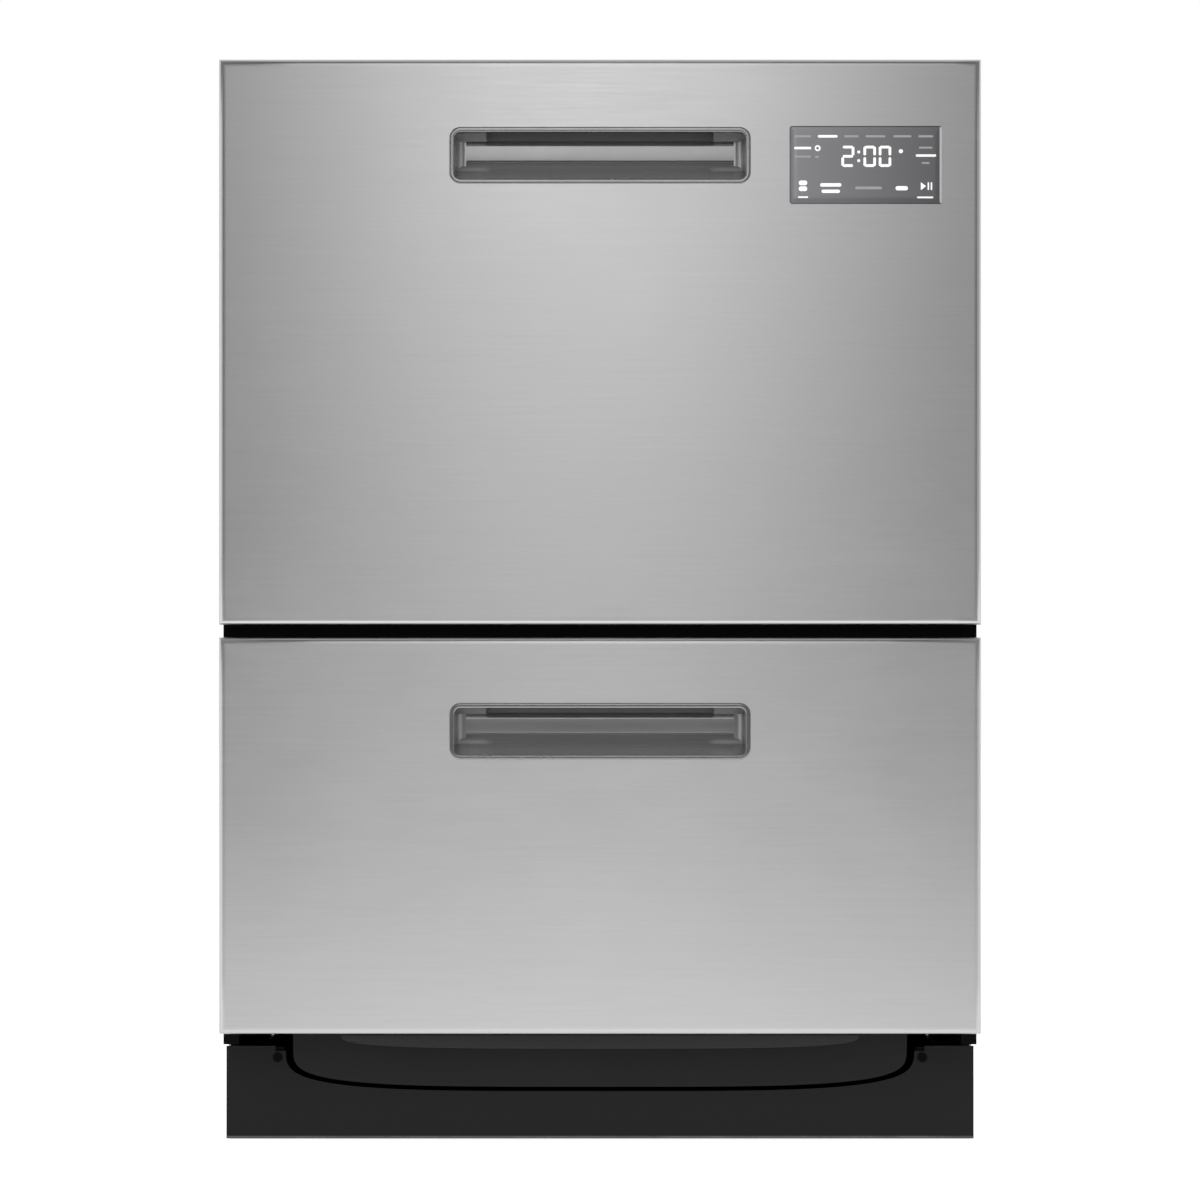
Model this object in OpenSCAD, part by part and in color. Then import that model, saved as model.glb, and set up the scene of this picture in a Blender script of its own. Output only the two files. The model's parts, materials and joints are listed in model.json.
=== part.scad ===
// Two-drawer dishwasher that stands under a worktop: a sheet-metal cabinet with two tubs on
// telescopic runners. Millimetres, +Z up, the door panels face -Y, and +X is on the right of
// someone who faces them. The origin is on the floor, at the centre of the footprint.

/* [Cabinet] */
// Width over the cabinet's side panels
cabinet_w = 594; // [560:1:620]
// Depth from the handle rims to the back of the cabinet
overall_d = 571; // [550:1:600]
// Thickness of the cabinet's steel sheet
sheet = 1.5; // [1.3:0.1:1.7]
// Depth of the black moulding around the two bays
surround_t = 14; // [10:1:16]
// Width of that moulding's side stiles
stile_w = 12; // [10:0.5:12.5]
// Height of the service recess at the back, where the hoses and the lead arrive
recess_h = 120; // [110:1:128]
// Depth of that recess
recess_d = 49; // [46:1:50]
// Distance from the cabinet's back face to the tubs
tub_back_gap = 57; // [56:1:70]

/* [Door panels] */
// How far a door panel stands out past the cabinet at each side
panel_overlap = 2; // [1:0.5:4]
// Depth of a door panel with its folded edges
panel_t = 20; // [18:1:24]
// Thickness of a door panel's stainless skin
skin = 1.2; // [0.8:0.1:1.5]
// Radius of a door panel's outer edges
edge_r = 3; // [1.6:0.1:4]
// Height of the lower panel's bottom edge above the floor
floor_gap = 87.5; // [86:0.5:92]
// Height of the lower door panel
lower_panel_h = 311; // [305:1:330]
// Height of the gap between the two panels
panel_gap = 10; // [8:0.5:12]
// Height of the upper door panel
upper_panel_h = 443.5; // [438:0.5:460]

/* [Handles] */
// Width over the handle's rim
handle_w = 236.5; // [200:0.5:260]
// Height over the handle's rim
handle_h = 44.7; // [42:0.1:48]
// Corner radius of the handle's rim
handle_r = 9; // [7:0.5:10]
// Width of the rim's face
rim_w = 4; // [3:0.5:4.5]
// How far the rim stands in front of the panel
rim_proud = 0.8; // [0.5:0.1:1.2]
// Depth of the finger pocket
pocket_d = 28; // [24:1:30]
// Wall of the finger pocket
pocket_wall = 1.5; // [1:0.1:1.8]
// Width of the grip slot above the pocket
grip_w = 178; // [120:1:184]
// How far the grip slot rises above the pocket
grip_rise = 12; // [10:0.5:14]
// Distance from the upper panel's top edge to its handle's centre
upper_handle_drop = 75.5; // [74:0.5:90]
// Distance from the lower panel's top edge to its handle's centre
lower_handle_drop = 73.5; // [60:0.5:90]

/* [Display] */
// Width of the display window
display_w = 119; // [110:1:122]
// Height of the display window
display_h = 60.4; // [56:0.1:64]
// Thickness of the display window
display_t = 2; // [1.6:0.1:2.4]
// Distance from the window to the panel's right edge
display_margin = 31; // [26:0.5:33]
// Distance from the panel's top edge to the window's centre
display_drop = 83; // [70:0.5:90]

/* [Tubs and lids] */
// Distance from the cabinet's side to a tub
tub_side_gap = 27; // [26.5:0.5:30]
// Distance from the door panel's back to the tub
tub_front_gap = 25; // [24:1:30]
// Wall of a tub
tub_wall = 4; // [3:0.5:5]
// Outer corner radius of a tub
tub_r = 40; // [34:1:46]
// How far a tub's rim stands out
rim_out = 4; // [3:0.5:4]
// Height of a tub's rim band
rim_h = 4; // [3:0.5:6]
// Height from the base cover's bottom to the tub's floor, outside
under_tub = 55; // [54:1:60]
// Depth of the sump below the tub's floor
sump_depth = 22; // [20:1:24]
// Inner radius of the sump
sump_r = 100; // [90:1:104]
// Height of a lid with its skirt
lid_h = 13; // [12:0.5:15]
// Height of a lid's seal
seal_h = 3; // [2.5:0.5:4]
// Distance that a lid comes down on to its tub
lid_travel = 8; // [6:0.5:9]

/* [Runners] */
// Distance from the runners' end to the rear panel
rail_back_gap = 27; // [20:1:40]
// Height of a runner
rail_h = 46; // [40:1:50]
// Thickness of a runner's strip
rail_t = 1.2; // [1:0.1:1.4]
// Distance from a tub's rim down to its runners' centre
rail_drop = 150; // [140:1:170]

/* [Wash system] */
// Distance from a spray arm's tip to the tub's wall
spray_gap = 25; // [18:1:50]
// Radius of the shaft that a spray arm turns on
shaft_r = 5; // [4:0.5:6]
// Radius of the wash motor
motor_r = 62; // [50:1:70]
// Radius of the round drain filter
filter_r = 30; // [24:1:32]
// Thickness of the steel filter plate
plate_t = 1.5; // [1.2:0.1:2]

/* [Racks] */
// Height of the rack's floor above the tub's floor
rack_lift = 48; // [44:1:54]
// Height of the rack's sides
rack_side_h = 130; // [115:1:133]
// Radius of the rack's frame wire
wire_r = 2.2; // [1.8:0.1:2.4]
// Radius of the rack's grid wires and tines
tine_r = 1.6; // [1.3:0.1:1.8]
// Height of the plate tines
tine_h = 78; // [60:1:90]
// Distance from one tine to the next
tine_pitch = 31; // [27:1:34]
// Width of the folding cup rack
cup_rack_w = 96; // [80:1:100]
// Height of the cutlery basket
basket_h = 118; // [90:1:122]
// Width of the cutlery basket
basket_w = 78; // [60:1:90]
// Length of the cutlery basket
basket_len = 236; // [180:1:280]

/* [Toe kick and feet] */
// Height of the toe kick
kick_h = 73.5; // [72:0.5:75]
// Distance from the door panels' face to the toe kick
kick_recess = 50; // [44:1:56]
// Thickness of the toe kick
kick_t = 2; // [1.5:0.1:2.5]
// Distance from the cabinet's side to the curved cut-out in the toe kick
cut_margin = 47; // [44:1:52]
// Depth of that cut-out at its centre
cut_depth = 36; // [34:0.5:37]
// Gap between the cut-out and the lower drawer's base cover, at the sides
cover_gap = 6; // [4:0.5:8]
// Radius of a foot's pad
pad_r = 22; // [18:1:24]
// Radius of a foot's stud
stud_r = 5; // [4:0.5:6]

/* [Hidden] */
$fn = 48;

// Which drawer a module draws, and the two sides of the cabinet.
LOWER = 0;
UPPER = 1;
DRAWERS = [LOWER, UPPER];
SIDES = [-1, 1];

// Clearances
slip = 0.3;         // between pieces that slide past each other, or lie next to each other
fit_gap = 0.5;      // around a piece that sits in a cut-out
bearing = 0.06;     // radial, between a shaft or rod and its bore
weld_gap = 0.1;     // between the wire grids of a rack, which touch at their welds
cut = 1;            // how far a cutting form runs past what it cuts

// Planes along Y, from the front
face_y = -overall_d / 2 + rim_proud;
panel_back_y = face_y + panel_t;
cab_front_y = panel_back_y + 2;
shell_y = cab_front_y + surround_t;
kick_y = face_y + kick_recess;
kick_back_y = kick_y + kick_t;
back_y = overall_d / 2;
rear_y = back_y - 2 * sheet;
tub_y0 = panel_back_y + tub_front_gap;
tub_y1 = back_y - tub_back_gap;
tub_d = tub_y1 - tub_y0;
tub_y = (tub_y0 + tub_y1) / 2;

// Planes along X
out_x = cabinet_w / 2;
in_x = out_x - sheet;
panel_w = cabinet_w + 2 * panel_overlap;
tub_w = cabinet_w - 2 * tub_side_gap;
tub_x = tub_w / 2;
lug_t = 2;
runner_gap = 13;
rail_x0 = tub_x + lug_t;
rail_x1 = out_x - runner_gap;
display_x = panel_w / 2 - display_margin - display_w / 2;
cut_half_w = out_x - cut_margin;

// Heights
lower_top = floor_gap + lower_panel_h;
upper_bottom = lower_top + panel_gap;
upper_top = upper_bottom + upper_panel_h;
cab_top = upper_top - 1;
divider_lift = 8;
divider_top = upper_bottom + divider_lift;
lid_room = 2;
seal_squeeze = slip;
rim_drop = lid_room + lid_h + seal_h + lid_travel + seal_squeeze;
bar_h = rim_drop - 2;
shell_z0 = kick_h + 4;
side_z0 = 18;
tray_z = 22;
tray_t = 2;
tray_wall_h = 14;
tray_y0 = kick_back_y + 22;
recess_y = back_y - recess_d;
foot_inset = 27;
foot_x = out_x - foot_inset;
foot_front_y = kick_y + 50;
foot_back_y = recess_y - 45;
cover_lift = 3.5;
tub_lift = 5;

function panel_z0(d) = d == UPPER ? upper_bottom : floor_gap;
function panel_z1(d) = d == UPPER ? upper_top : lower_top;
function handle_z(d) = d == UPPER ? upper_top - upper_handle_drop : lower_top - lower_handle_drop;
function ceiling_z(d) = d == UPPER ? cab_top - sheet : divider_top - sheet;
function rim_z(d) = ceiling_z(d) - rim_drop;
function base_z(d) = d == UPPER ? divider_top + tub_lift : kick_h - cut_depth + cover_lift;
function tub_floor(d) = base_z(d) + under_tub + tub_wall;
function rail_z(d) = rim_z(d) - rail_drop;
function rack_z(d) = tub_floor(d) + rack_lift;
function lid_z(d) = rim_z(d) + lid_travel + seal_squeeze + seal_h;

// ---------- shapes that repeat ----------

// A box between two opposite corners.
module block(low, high) {
    translate(low) cube([for (i = [0:2]) high[i] - low[i]]);
}

// A round bar along X, Y or Z, between two positions.
module bar_x(x0, x1, y, z, r) {
    translate([x0, y, z]) rotate([0, 90, 0]) cylinder(r = r, h = x1 - x0);
}
module bar_y(x, y0, y1, z, r) {
    translate([x, y1, z]) rotate([90, 0, 0]) cylinder(r = r, h = y1 - y0);
}
module bar_z(x, y, z0, z1, r) {
    translate([x, y, z0]) cylinder(r = r, h = z1 - z0);
}

// A solid with an outline in XZ, between two positions along Y.
module slab_xz(points, y0, y1) {
    translate([0, y1, 0]) rotate([90, 0, 0]) linear_extrude(y1 - y0) polygon(points);
}

// A solid with an outline in YZ, between two positions along X.
module slab_yz(points, x0, x1) {
    translate([x0, 0, 0]) rotate([90, 0, 90]) linear_extrude(x1 - x0) polygon(points);
}

// A solid with an outline in XY, between two heights.
module slab_xy(points, z0, z1) {
    translate([0, 0, z0]) linear_extrude(z1 - z0) polygon(points);
}

// What is drawn on the right is drawn on the side that is asked for.
module on_side(side) {
    mirror([side < 0 ? 1 : 0, 0, 0]) children();
}

// Points of an arc, and of a rectangle with round corners.
function arc(x, y, r, from, to, steps) =
    [for (i = [0:steps]) let (a = from + (to - from) * i / steps) [x + r * cos(a), y + r * sin(a)]];
function round_rect(x, y, w, h, r, steps = 6) = concat(
    arc(x + w / 2 - r, y + h / 2 - r, r, 0, 90, steps),
    arc(x - w / 2 + r, y + h / 2 - r, r, 90, 180, steps),
    arc(x - w / 2 + r, y - h / 2 + r, r, 180, 270, steps),
    arc(x + w / 2 - r, y - h / 2 + r, r, 270, 360, steps));

// The lower half of a superellipse: nearly flat in the middle, with quick round ends.
function belly(half_w, depth, top, power = 4, steps = 40) =
    [for (i = [0:steps]) let (a = 180 + 180 * i / steps)
        [half_w * sign(cos(a)) * pow(abs(cos(a)), 2 / power),
         top + depth * sign(sin(a)) * pow(abs(sin(a)), 2 / power)]];

// A straight wire with eight flat sides, from one point to another.
module wire(from, to, r) {
    run = to - from;
    flat_run = norm([run[0], run[1]]);
    translate(from) rotate([0, 90 - atan2(run[2], flat_run), atan2(run[1], run[0])])
        rotate([0, 0, 22.5]) cylinder(r = r, h = norm(run), $fn = 8);
}

// ---------- cabinet ----------

bead_h = 20;
bead_depth = 0.9;
bead_end_gap = 54;
bead_from_rail = 62;
bead_side = 1.5;
side_flange = 8;
top_flange = 18;
back_flange = 15;
foot_flange = 20;
screw_hole_r = 2.6;
side_screw_y = shell_y + 22;
side_screw_from_rail = 100;
foot_notch_r = 2 * stud_r + 6;

// Heights of the side beads, clear of the runners' brackets and the lids' actuators.
function side_beads() = [
    for (d = DRAWERS) each [rail_z(d) - bead_from_rail, rail_z(d) + bead_from_rail]
];
function side_screws() = [rail_z(LOWER) - side_screw_from_rail, rail_z(UPPER) + side_screw_from_rail];

// One outline of a pressed bead in a side, drawn in from its edge by an inset.
function side_bead(z, inset) = let (h = bead_h - 2 * inset)
    round_rect(tub_y, z, tub_d - 2 * bead_end_gap - 2 * inset, h, h / 2);

module side_panel(side) {
    top = cab_top - sheet;
    color("silver") on_side(side) difference() {
        union() {
            slab_yz([
                [shell_y, shell_z0], [shell_y, top], [back_y, top],
                [back_y, side_z0], [tray_y0, side_z0], [tray_y0, shell_z0]
            ], in_x, out_x);
            block([in_x - top_flange, shell_y, top - sheet], [in_x, back_y, top]);
            block([in_x - side_flange, shell_y, shell_z0], [in_x, shell_y + sheet, top]);
            block([in_x - back_flange, back_y - sheet, side_z0], [in_x, back_y, top]);
            block([in_x - foot_flange, tray_y0, side_z0], [in_x, back_y, side_z0 + sheet]);
            for (z = side_beads()) slab_yz(side_bead(z, 0), in_x - bead_depth, in_x);
        }
        for (z = side_beads()) slab_yz(side_bead(z, bead_side), out_x - bead_depth, out_x + cut);
        for (z = side_screws()) bar_x(in_x - cut, out_x + cut, side_screw_y, z, screw_hole_r);
        for (y = [foot_front_y, foot_back_y]) bar_z(foot_x, y, 0, tray_z, foot_notch_r);
    }
}

worktop_screw_x = out_x - 57;
worktop_screw_y = shell_y + 24;
top_bead_w = 60;
top_bead_pitch = cabinet_w / 4;
top_bead_end = 45;
top_bead_r = 12;

function top_bead(x, inset) = round_rect(x, tub_y, top_bead_w - 2 * inset,
    tub_d - 2 * top_bead_end - 2 * inset, top_bead_r - inset);

module top_panel() {
    z = cab_top - sheet;
    beads = [-top_bead_pitch, 0, top_bead_pitch];
    color("silver") difference() {
        union() {
            block([-out_x, cab_front_y, z], [out_x, back_y, cab_top]);
            for (x = beads) slab_xy(top_bead(x, 0), z - bead_depth, z);
        }
        for (x = beads) slab_xy(top_bead(x, bead_side), cab_top - bead_depth, cab_top + cut);
        for (x = [-worktop_screw_x, worktop_screw_x])
            bar_z(x, worktop_screw_y, z - cut, cab_top + cut, screw_hole_r);
    }
}

vent_w = 72;
vent_h = 4;
vent_pitch_x = 120;
vent_pitch_z = 11;
vent_drop = 30;
rear_bead_side = 57;
rear_bead_h = 200;
rear_bead_r = 24;
rear_bead_lift = 150;
function rear_bead_z(d) =
    d == UPPER ? divider_top + rear_bead_lift : (recess_h + ceiling_z(LOWER)) / 2;
function rear_bead(d, inset) = round_rect(0, rear_bead_z(d), cabinet_w - 2 * rear_bead_side - 2 * inset,
    rear_bead_h - 2 * inset, rear_bead_r - inset);

// The rear sheet turns in at its lower edge and is the shelf of the service recess.
module rear_panel() {
    top = cab_top - 2 * sheet;
    x = in_x - 1;
    color("silver") difference() {
        union() {
            block([-x, rear_y, recess_h], [x, rear_y + sheet, top]);
            block([-x, recess_y, recess_h], [x, rear_y, recess_h + sheet]);
            for (d = DRAWERS) slab_xz(rear_bead(d, 0), rear_y - bead_depth, rear_y);
        }
        for (d = DRAWERS) slab_xz(rear_bead(d, 2), rear_y + sheet - bead_depth, back_y);
        for (i = [-1.5:1.5])
            for (row = [0:3])
                slab_xz(round_rect(i * vent_pitch_x, top - vent_drop - row * vent_pitch_z,
                    vent_w, vent_h, vent_h / 2), rear_y - cut, rear_y + sheet + cut);
        for (d = DRAWERS) bar_z(pipe_x(d), pipe_y, recess_h - cut, recess_h + sheet + cut, pipe_r + slip);
    }
}

bracket_x0 = cut_half_w + 1;
bracket_w = 12;
bracket_z = tray_z + 3;
bracket_t = 2;
kick_screw_x = bracket_x0 + 5.2;
kick_screw_z = kick_h - 9;
kick_screw_r = 2;
boss_r = stud_r + 8;
boss_h = 20;

// An angle bracket in front of the tray, with a rib, which the toe kick's screw goes into.
module kick_bracket() {
    x1 = bracket_x0 + bracket_w;
    block([bracket_x0, kick_back_y, bracket_z], [x1, tray_y0 + tray_t, bracket_z + 3]);
    block([bracket_x0, kick_back_y, bracket_z], [x1, kick_back_y + bracket_t, kick_h - 1]);
    block([x1 - bracket_t, kick_back_y, bracket_z], [x1, kick_back_y + 16, kick_h - 20]);
}

// The tray under the tubs catches leaks, holds the feet and closes the service recess.
module base_tray() {
    wall_top = tray_z + tray_wall_h;
    color("dimgray") difference() {
        union() {
            difference() {
                block([-in_x, tray_y0, tray_z], [in_x, recess_y + tray_t, wall_top]);
                block([-in_x + tray_t, tray_y0 + tray_t, tray_z + tray_t],
                    [in_x - tray_t, recess_y, wall_top + cut]);
            }
            block([-in_x + tray_t, recess_y, tray_z], [in_x - tray_t, recess_y + tray_t, recess_h]);
            for (side = SIDES) on_side(side) {
                for (y = [foot_front_y, foot_back_y]) bar_z(foot_x, y, tray_z, tray_z + boss_h, boss_r);
                kick_bracket();
            }
        }
        for (x = [-foot_x, foot_x])
            for (y = [foot_front_y, foot_back_y])
                bar_z(x, y, tray_z - cut, tray_z + boss_h + cut, stud_r + bearing);
        for (side = SIDES) on_side(side)
            bar_y(kick_screw_x, kick_y, kick_back_y + 8, kick_screw_z, kick_screw_r + bearing);
        bar_y(inlet_x, recess_y - cut, recess_y + tray_t + cut, inlet_z, inlet_r - inlet_step);
        slab_xz(round_rect(power_x, power_z, power_w, power_h, power_r),
            recess_y - cut, recess_y + tray_t + cut);
    }
}

divider_skirt = 10;

// The sheet between the bays is the lower bay's ceiling.
module bay_divider() {
    z = ceiling_z(LOWER);
    y0 = shell_y + sheet;
    color("silver") difference() {
        union() {
            block([-in_x, y0, z], [in_x, rear_y, divider_top]);
            for (side = SIDES) on_side(side)
                block([in_x - sheet, y0, z - divider_skirt], [in_x, rear_y, z]);
            block([-in_x + sheet, rear_y - sheet, z - divider_skirt], [in_x - sheet, rear_y, z]);
        }
        bar_z(pipe_x(UPPER), pipe_y, z - cut, divider_top + cut, pipe_r + slip);
    }
}

bar_groove = 4;

// The black moulding around both bays, open at the bottom where the lower base cover comes out.
module front_surround() {
    bay_x = out_x - stile_w;
    color("#101010") difference() {
        block([-out_x, cab_front_y, shell_z0], [out_x, shell_y, cab_top - sheet]);
        for (d = DRAWERS)
            block([-bay_x, cab_front_y - cut, d == UPPER ? divider_top : shell_z0 - cut],
                [bay_x, shell_y + cut, ceiling_z(d) - bar_h]);
        // Each cross bar is hollow behind
        for (d = DRAWERS)
            slab_xz(round_rect(0, ceiling_z(d) - bar_h / 2, 2 * bay_x - 20, bar_h - 2 * bar_groove, 2),
                cab_front_y + 3, shell_y + cut);
    }
}

screw_head_r = 3.4;
screw_seat = 0.8;
kick_flange = 20;
kick_flange_t = 2;

// The plate that closes the plinth, cut away in a long curve for the lower base cover.
module toe_kick() {
    color("#262626") {
        difference() {
            block([-out_x, kick_y, 0], [out_x, kick_back_y, kick_h]);
            slab_xz(belly(cut_half_w, cut_depth, kick_h), kick_y - cut, kick_back_y + cut);
            block([-cut_half_w, kick_y - cut, kick_h - bearing], [cut_half_w, kick_back_y + cut, kick_h + cut]);
            for (side = SIDES) on_side(side) {
                block([cut_half_w - 5, kick_y - cut, kick_h - 4], [bracket_x0 + 7, kick_back_y + cut, kick_h + cut]);
                bar_y(kick_screw_x, kick_y - cut, kick_back_y + cut, kick_screw_z, kick_screw_r + bearing);
                bar_y(kick_screw_x, kick_y - cut, kick_y + screw_seat, kick_screw_z, screw_head_r + screw_seat);
            }
        }
        for (side = SIDES) on_side(side)
            block([in_x - fit_gap - kick_flange_t, kick_back_y, 0],
                [in_x - fit_gap, kick_back_y + kick_flange, kick_h - kick_flange_t]);
        block([-in_x + fit_gap + kick_flange_t, kick_back_y, 0],
            [in_x - fit_gap - kick_flange_t, kick_back_y + 12, kick_flange_t]);
    }
}

cross_half = 2;
cross_t = 0.8;

module kick_screws() {
    head_y = kick_y - 1;
    color("black") for (side = SIDES) on_side(side) {
        bar_y(kick_screw_x, kick_y + screw_seat, kick_back_y + 5, kick_screw_z, kick_screw_r);
        difference() {
            bar_y(kick_screw_x, head_y, kick_y + screw_seat, kick_screw_z, screw_head_r);
            for (half = [[cross_half, cross_t / 2], [cross_t / 2, cross_half]])
                block([kick_screw_x - half[0], head_y - cut, kick_screw_z - half[1]],
                    [kick_screw_x + half[0], head_y + cross_t, kick_screw_z + half[1]]);
        }
    }
}

// ---------- services ----------

inlet_from_side = 97;
inlet_x = out_x - inlet_from_side;
inlet_z = recess_h - 46;
inlet_r = 13.2;
inlet_len = 14;
inlet_flange = 6;
inlet_step = 3;
drain_r = 9.5;
drain_len = 22;
drain_collar = 2;
power_x = -110;
power_z = recess_h - 46;
power_w = 24;
power_h = 18;
power_r = 2;
power_border = 8;

// The water inlet's valve, with the thread that a hose screws on to.
module inlet_valve() {
    wall = recess_y + tray_t;
    tip = wall + inlet_flange + inlet_len;
    color("white") difference() {
        union() {
            bar_y(inlet_x, wall, wall + inlet_flange, inlet_z, inlet_r + 5);
            bar_y(inlet_x, wall + inlet_flange, tip, inlet_z, inlet_r);
            bar_y(inlet_x, recess_y - 1, wall, inlet_z, inlet_r - inlet_step - bearing);
        }
        bar_y(inlet_x, wall + 2, tip + cut, inlet_z, inlet_r - inlet_step - fit_gap);
    }
}

// Each tub drains through its own pipe. It stands on the recess's shelf, where a household drain
// hose pushes on to its lower end.
module drain_pipes() {
    color("#303030") for (d = DRAWERS) {
        x = pipe_x(d);
        seat = recess_h - drain_collar;
        top = hose_z(d) + elbow_rise;
        difference() {
            union() {
                bar_z(x, pipe_y, seat - drain_len, seat, drain_r);
                bar_z(x, pipe_y, seat, recess_h, drain_r + 3);
                bar_z(x, pipe_y, recess_h, top, pipe_r);
                bar_z(x, pipe_y, recess_h + sheet, recess_h + sheet + 4, pipe_r + 4);
            }
            bar_z(x, pipe_y, seat - drain_len - cut, top + cut, pipe_r - 3);
        }
    }
}

pin_pitch = 5;
pin_half = 1;

// A three-pin appliance inlet for a lead that plugs in.
module power_inlet() {
    wall = recess_y + tray_t;
    floor_y = wall - 4;
    color("black") difference() {
        union() {
            slab_xz(round_rect(power_x, power_z, power_w + 2 * power_border, power_h + power_border + 2, 4),
                wall, wall + 3);
            slab_xz(round_rect(power_x, power_z, power_w - fit_gap, power_h - fit_gap, power_r),
                recess_y - 6, wall);
        }
        slab_xz(round_rect(power_x, power_z, power_w - 3, power_h - 3, power_r), floor_y, wall + 4);
    }
    color("silver") for (i = [-1:1])
        block([power_x + i * pin_pitch - pin_half, floor_y, power_z - 2 * pin_half],
            [power_x + i * pin_pitch + pin_half, wall + 2, power_z + 2 * pin_half]);
}

control_w = 220;
control_h = 130;
control_t = 30;
control_tab = 8;
socket_w = 30;
socket_h = 14;
socket_lift = 5;
socket_places = [-80, -25, 45];

// The electronics sit in a box on the inside of the rear panel, under the arch of the upper hose.
module control_module() {
    y1 = rear_y - bead_depth;
    y0 = y1 - control_t;
    x = (hose_x(UPPER) + pipe_x(UPPER)) / 2;
    z = hose_z(UPPER) + 56;
    socket_z = z - control_h / 2 + socket_lift;
    color("gray") difference() {
        union() {
            slab_xz(round_rect(x, z, control_w, control_h, 8), y0, y1);
            slab_xz(round_rect(x, z, control_w + 2 * control_tab, 20, 6), y1 - 3, y1);
            for (left = socket_places)
                block([x + left, y0 - 4, socket_z], [x + left + socket_w, y0, socket_z + socket_h]);
        }
        slab_xz(round_rect(x, z + 12, control_w - 40, control_h - 60, 6), y0 - cut, y0 + 1.5);
    }
}

// ---------- feet ----------

pad_h = 5;
pad_step = 3;
stud_len = 58;
hex_z = 12;
hex_h = 6;

module foot(side, y) {
    x = side * foot_x;
    color("#303030") bar_z(x, y, 0, pad_h, pad_r);
    color("#303030") bar_z(x, y, pad_h, pad_h + pad_step, pad_r * 0.62);
    color("silver") bar_z(x, y, pad_h + pad_step, pad_h + pad_step + stud_len, stud_r);
    color("silver") translate([x, y, hex_z]) cylinder(r = stud_r + 4.5, h = hex_h, $fn = 6);
    color("silver") bar_z(x, y, hex_z + hex_h, tray_z, stud_r + 3);
}

// ---------- door panels ----------

// A folded tray of sheet: the outer form, or the hollow behind the skin.
module panel_form(d, inset) {
    r = edge_r - inset;
    x = panel_w / 2 - inset;
    z0 = panel_z0(d) + inset;
    z1 = panel_z1(d) - inset;
    y0 = face_y + inset;
    y1 = panel_back_y + (inset > 0 ? cut : 0);
    intersection() {
        slab_xy(concat(arc(-x + r, y0 + r, r, 180, 270, 5), arc(x - r, y0 + r, r, 270, 360, 5),
            [[x, y1], [-x, y1]]), z0, z1);
        slab_yz(concat([[y1, z0]], [[y1, z1]], arc(y0 + r, z1 - r, r, 90, 180, 5),
            arc(y0 + r, z0 + r, r, 180, 270, 5)), -x, x);
    }
}

module front_panel(d) {
    color("lightgray") difference() {
        panel_form(d, 0);
        panel_form(d, skin);
        slab_xz(round_rect(0, handle_z(d), pocket_w + 2 * fit_gap, pocket_h + 2 * fit_gap, handle_r - 1),
            face_y - cut, face_y + skin + cut);
        if (d == UPPER)
            slab_xz(round_rect(display_x, display_z, display_w + fit_gap, display_h + fit_gap, 2),
                face_y - cut, face_y + skin + cut);
    }
}
display_z = upper_top - display_drop;

// Size of the pocket where it passes through the skin, and the top of the grip slot
rim_lap = 2.5;
pocket_w = handle_w - 2 * rim_lap;
pocket_h = handle_h - 2 * rim_lap + 1;
grip_top = handle_h / 2 - rim_w + grip_rise;

frame_t = 4;
web_t = 3;
web_inset = 14;
web_lift = 12;
lip_inset = 93;
lip_drop = 11.5;
lip_t = 6;
frame_gap = 4;

// The moulding behind the skin carries the panel on the tub. The lower one has a curved lip below.
module panel_frame(d) {
    x = panel_w / 2 - skin - slip;
    z0 = panel_z0(d) + skin + slip;
    z1 = panel_z1(d) - skin - slip;
    y0 = panel_back_y - frame_t;
    web_x = tub_x - web_inset;
    web_z0 = tub_floor(d) + web_lift;
    web_z1 = rim_z(d) - rim_h;
    web_y = tub_y0 - rib_out;
    lip_half_w = out_x - lip_inset;
    hole_z0 = handle_z(d) - pocket_h / 2 - fit_gap;
    hole_z1 = handle_z(d) + grip_top + frame_gap;
    color("#1c1c1c") difference() {
        union() {
            block([-x, y0, z0], [x, panel_back_y, z1]);
            block([-web_x, panel_back_y, web_z1 - web_t], [web_x, web_y, web_z1]);
            for (side = SIDES) on_side(side)
                block([web_x - web_t, panel_back_y, web_z0], [web_x, web_y, web_z1 - web_t]);
            block([-web_x + web_t, panel_back_y, web_z0], [web_x - web_t, web_y, web_z0 + web_t]);
            if (d == LOWER)
                slab_xz(concat(belly(lip_half_w, lip_drop, floor_gap - 2, 3.5, 32),
                    [[lip_half_w, floor_gap + lip_t], [-lip_half_w, floor_gap + lip_t]]),
                    panel_back_y, panel_back_y + lip_t);
        }
        slab_xz(round_rect(0, (hole_z0 + hole_z1) / 2, pocket_w + frame_gap, hole_z1 - hole_z0, 3),
            y0 - cut, tub_y0 - 8);
    }
}

// Pocket profile in YZ from the rim to the back: a ramp, a crease, and a back wall that runs up
// behind the panel, where the fingers hook over the edge.
end_drop = 4;
back_r = 14;
function pocket_void(d) = let (y = face_y, z = handle_z(d), h = handle_h / 2 - rim_w) concat(
    [[y - 2, z + h], [y - 2, z - h], [y + 1, z - h], [y + pocket_d - 9, z - h + 8],
     [y + pocket_d - 5, z - h + 11.5], [y + pocket_d - 4, z - h + 13.5]],
    arc(y + pocket_d - back_r, z - h + 21.5, back_r, -35, 0, 5),
    [[y + pocket_d, z + h - end_drop], [y + grip_t, z + h - end_drop], [y + grip_t, z + h]]);
grip_t = 5;
end_slope = 5;

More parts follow.
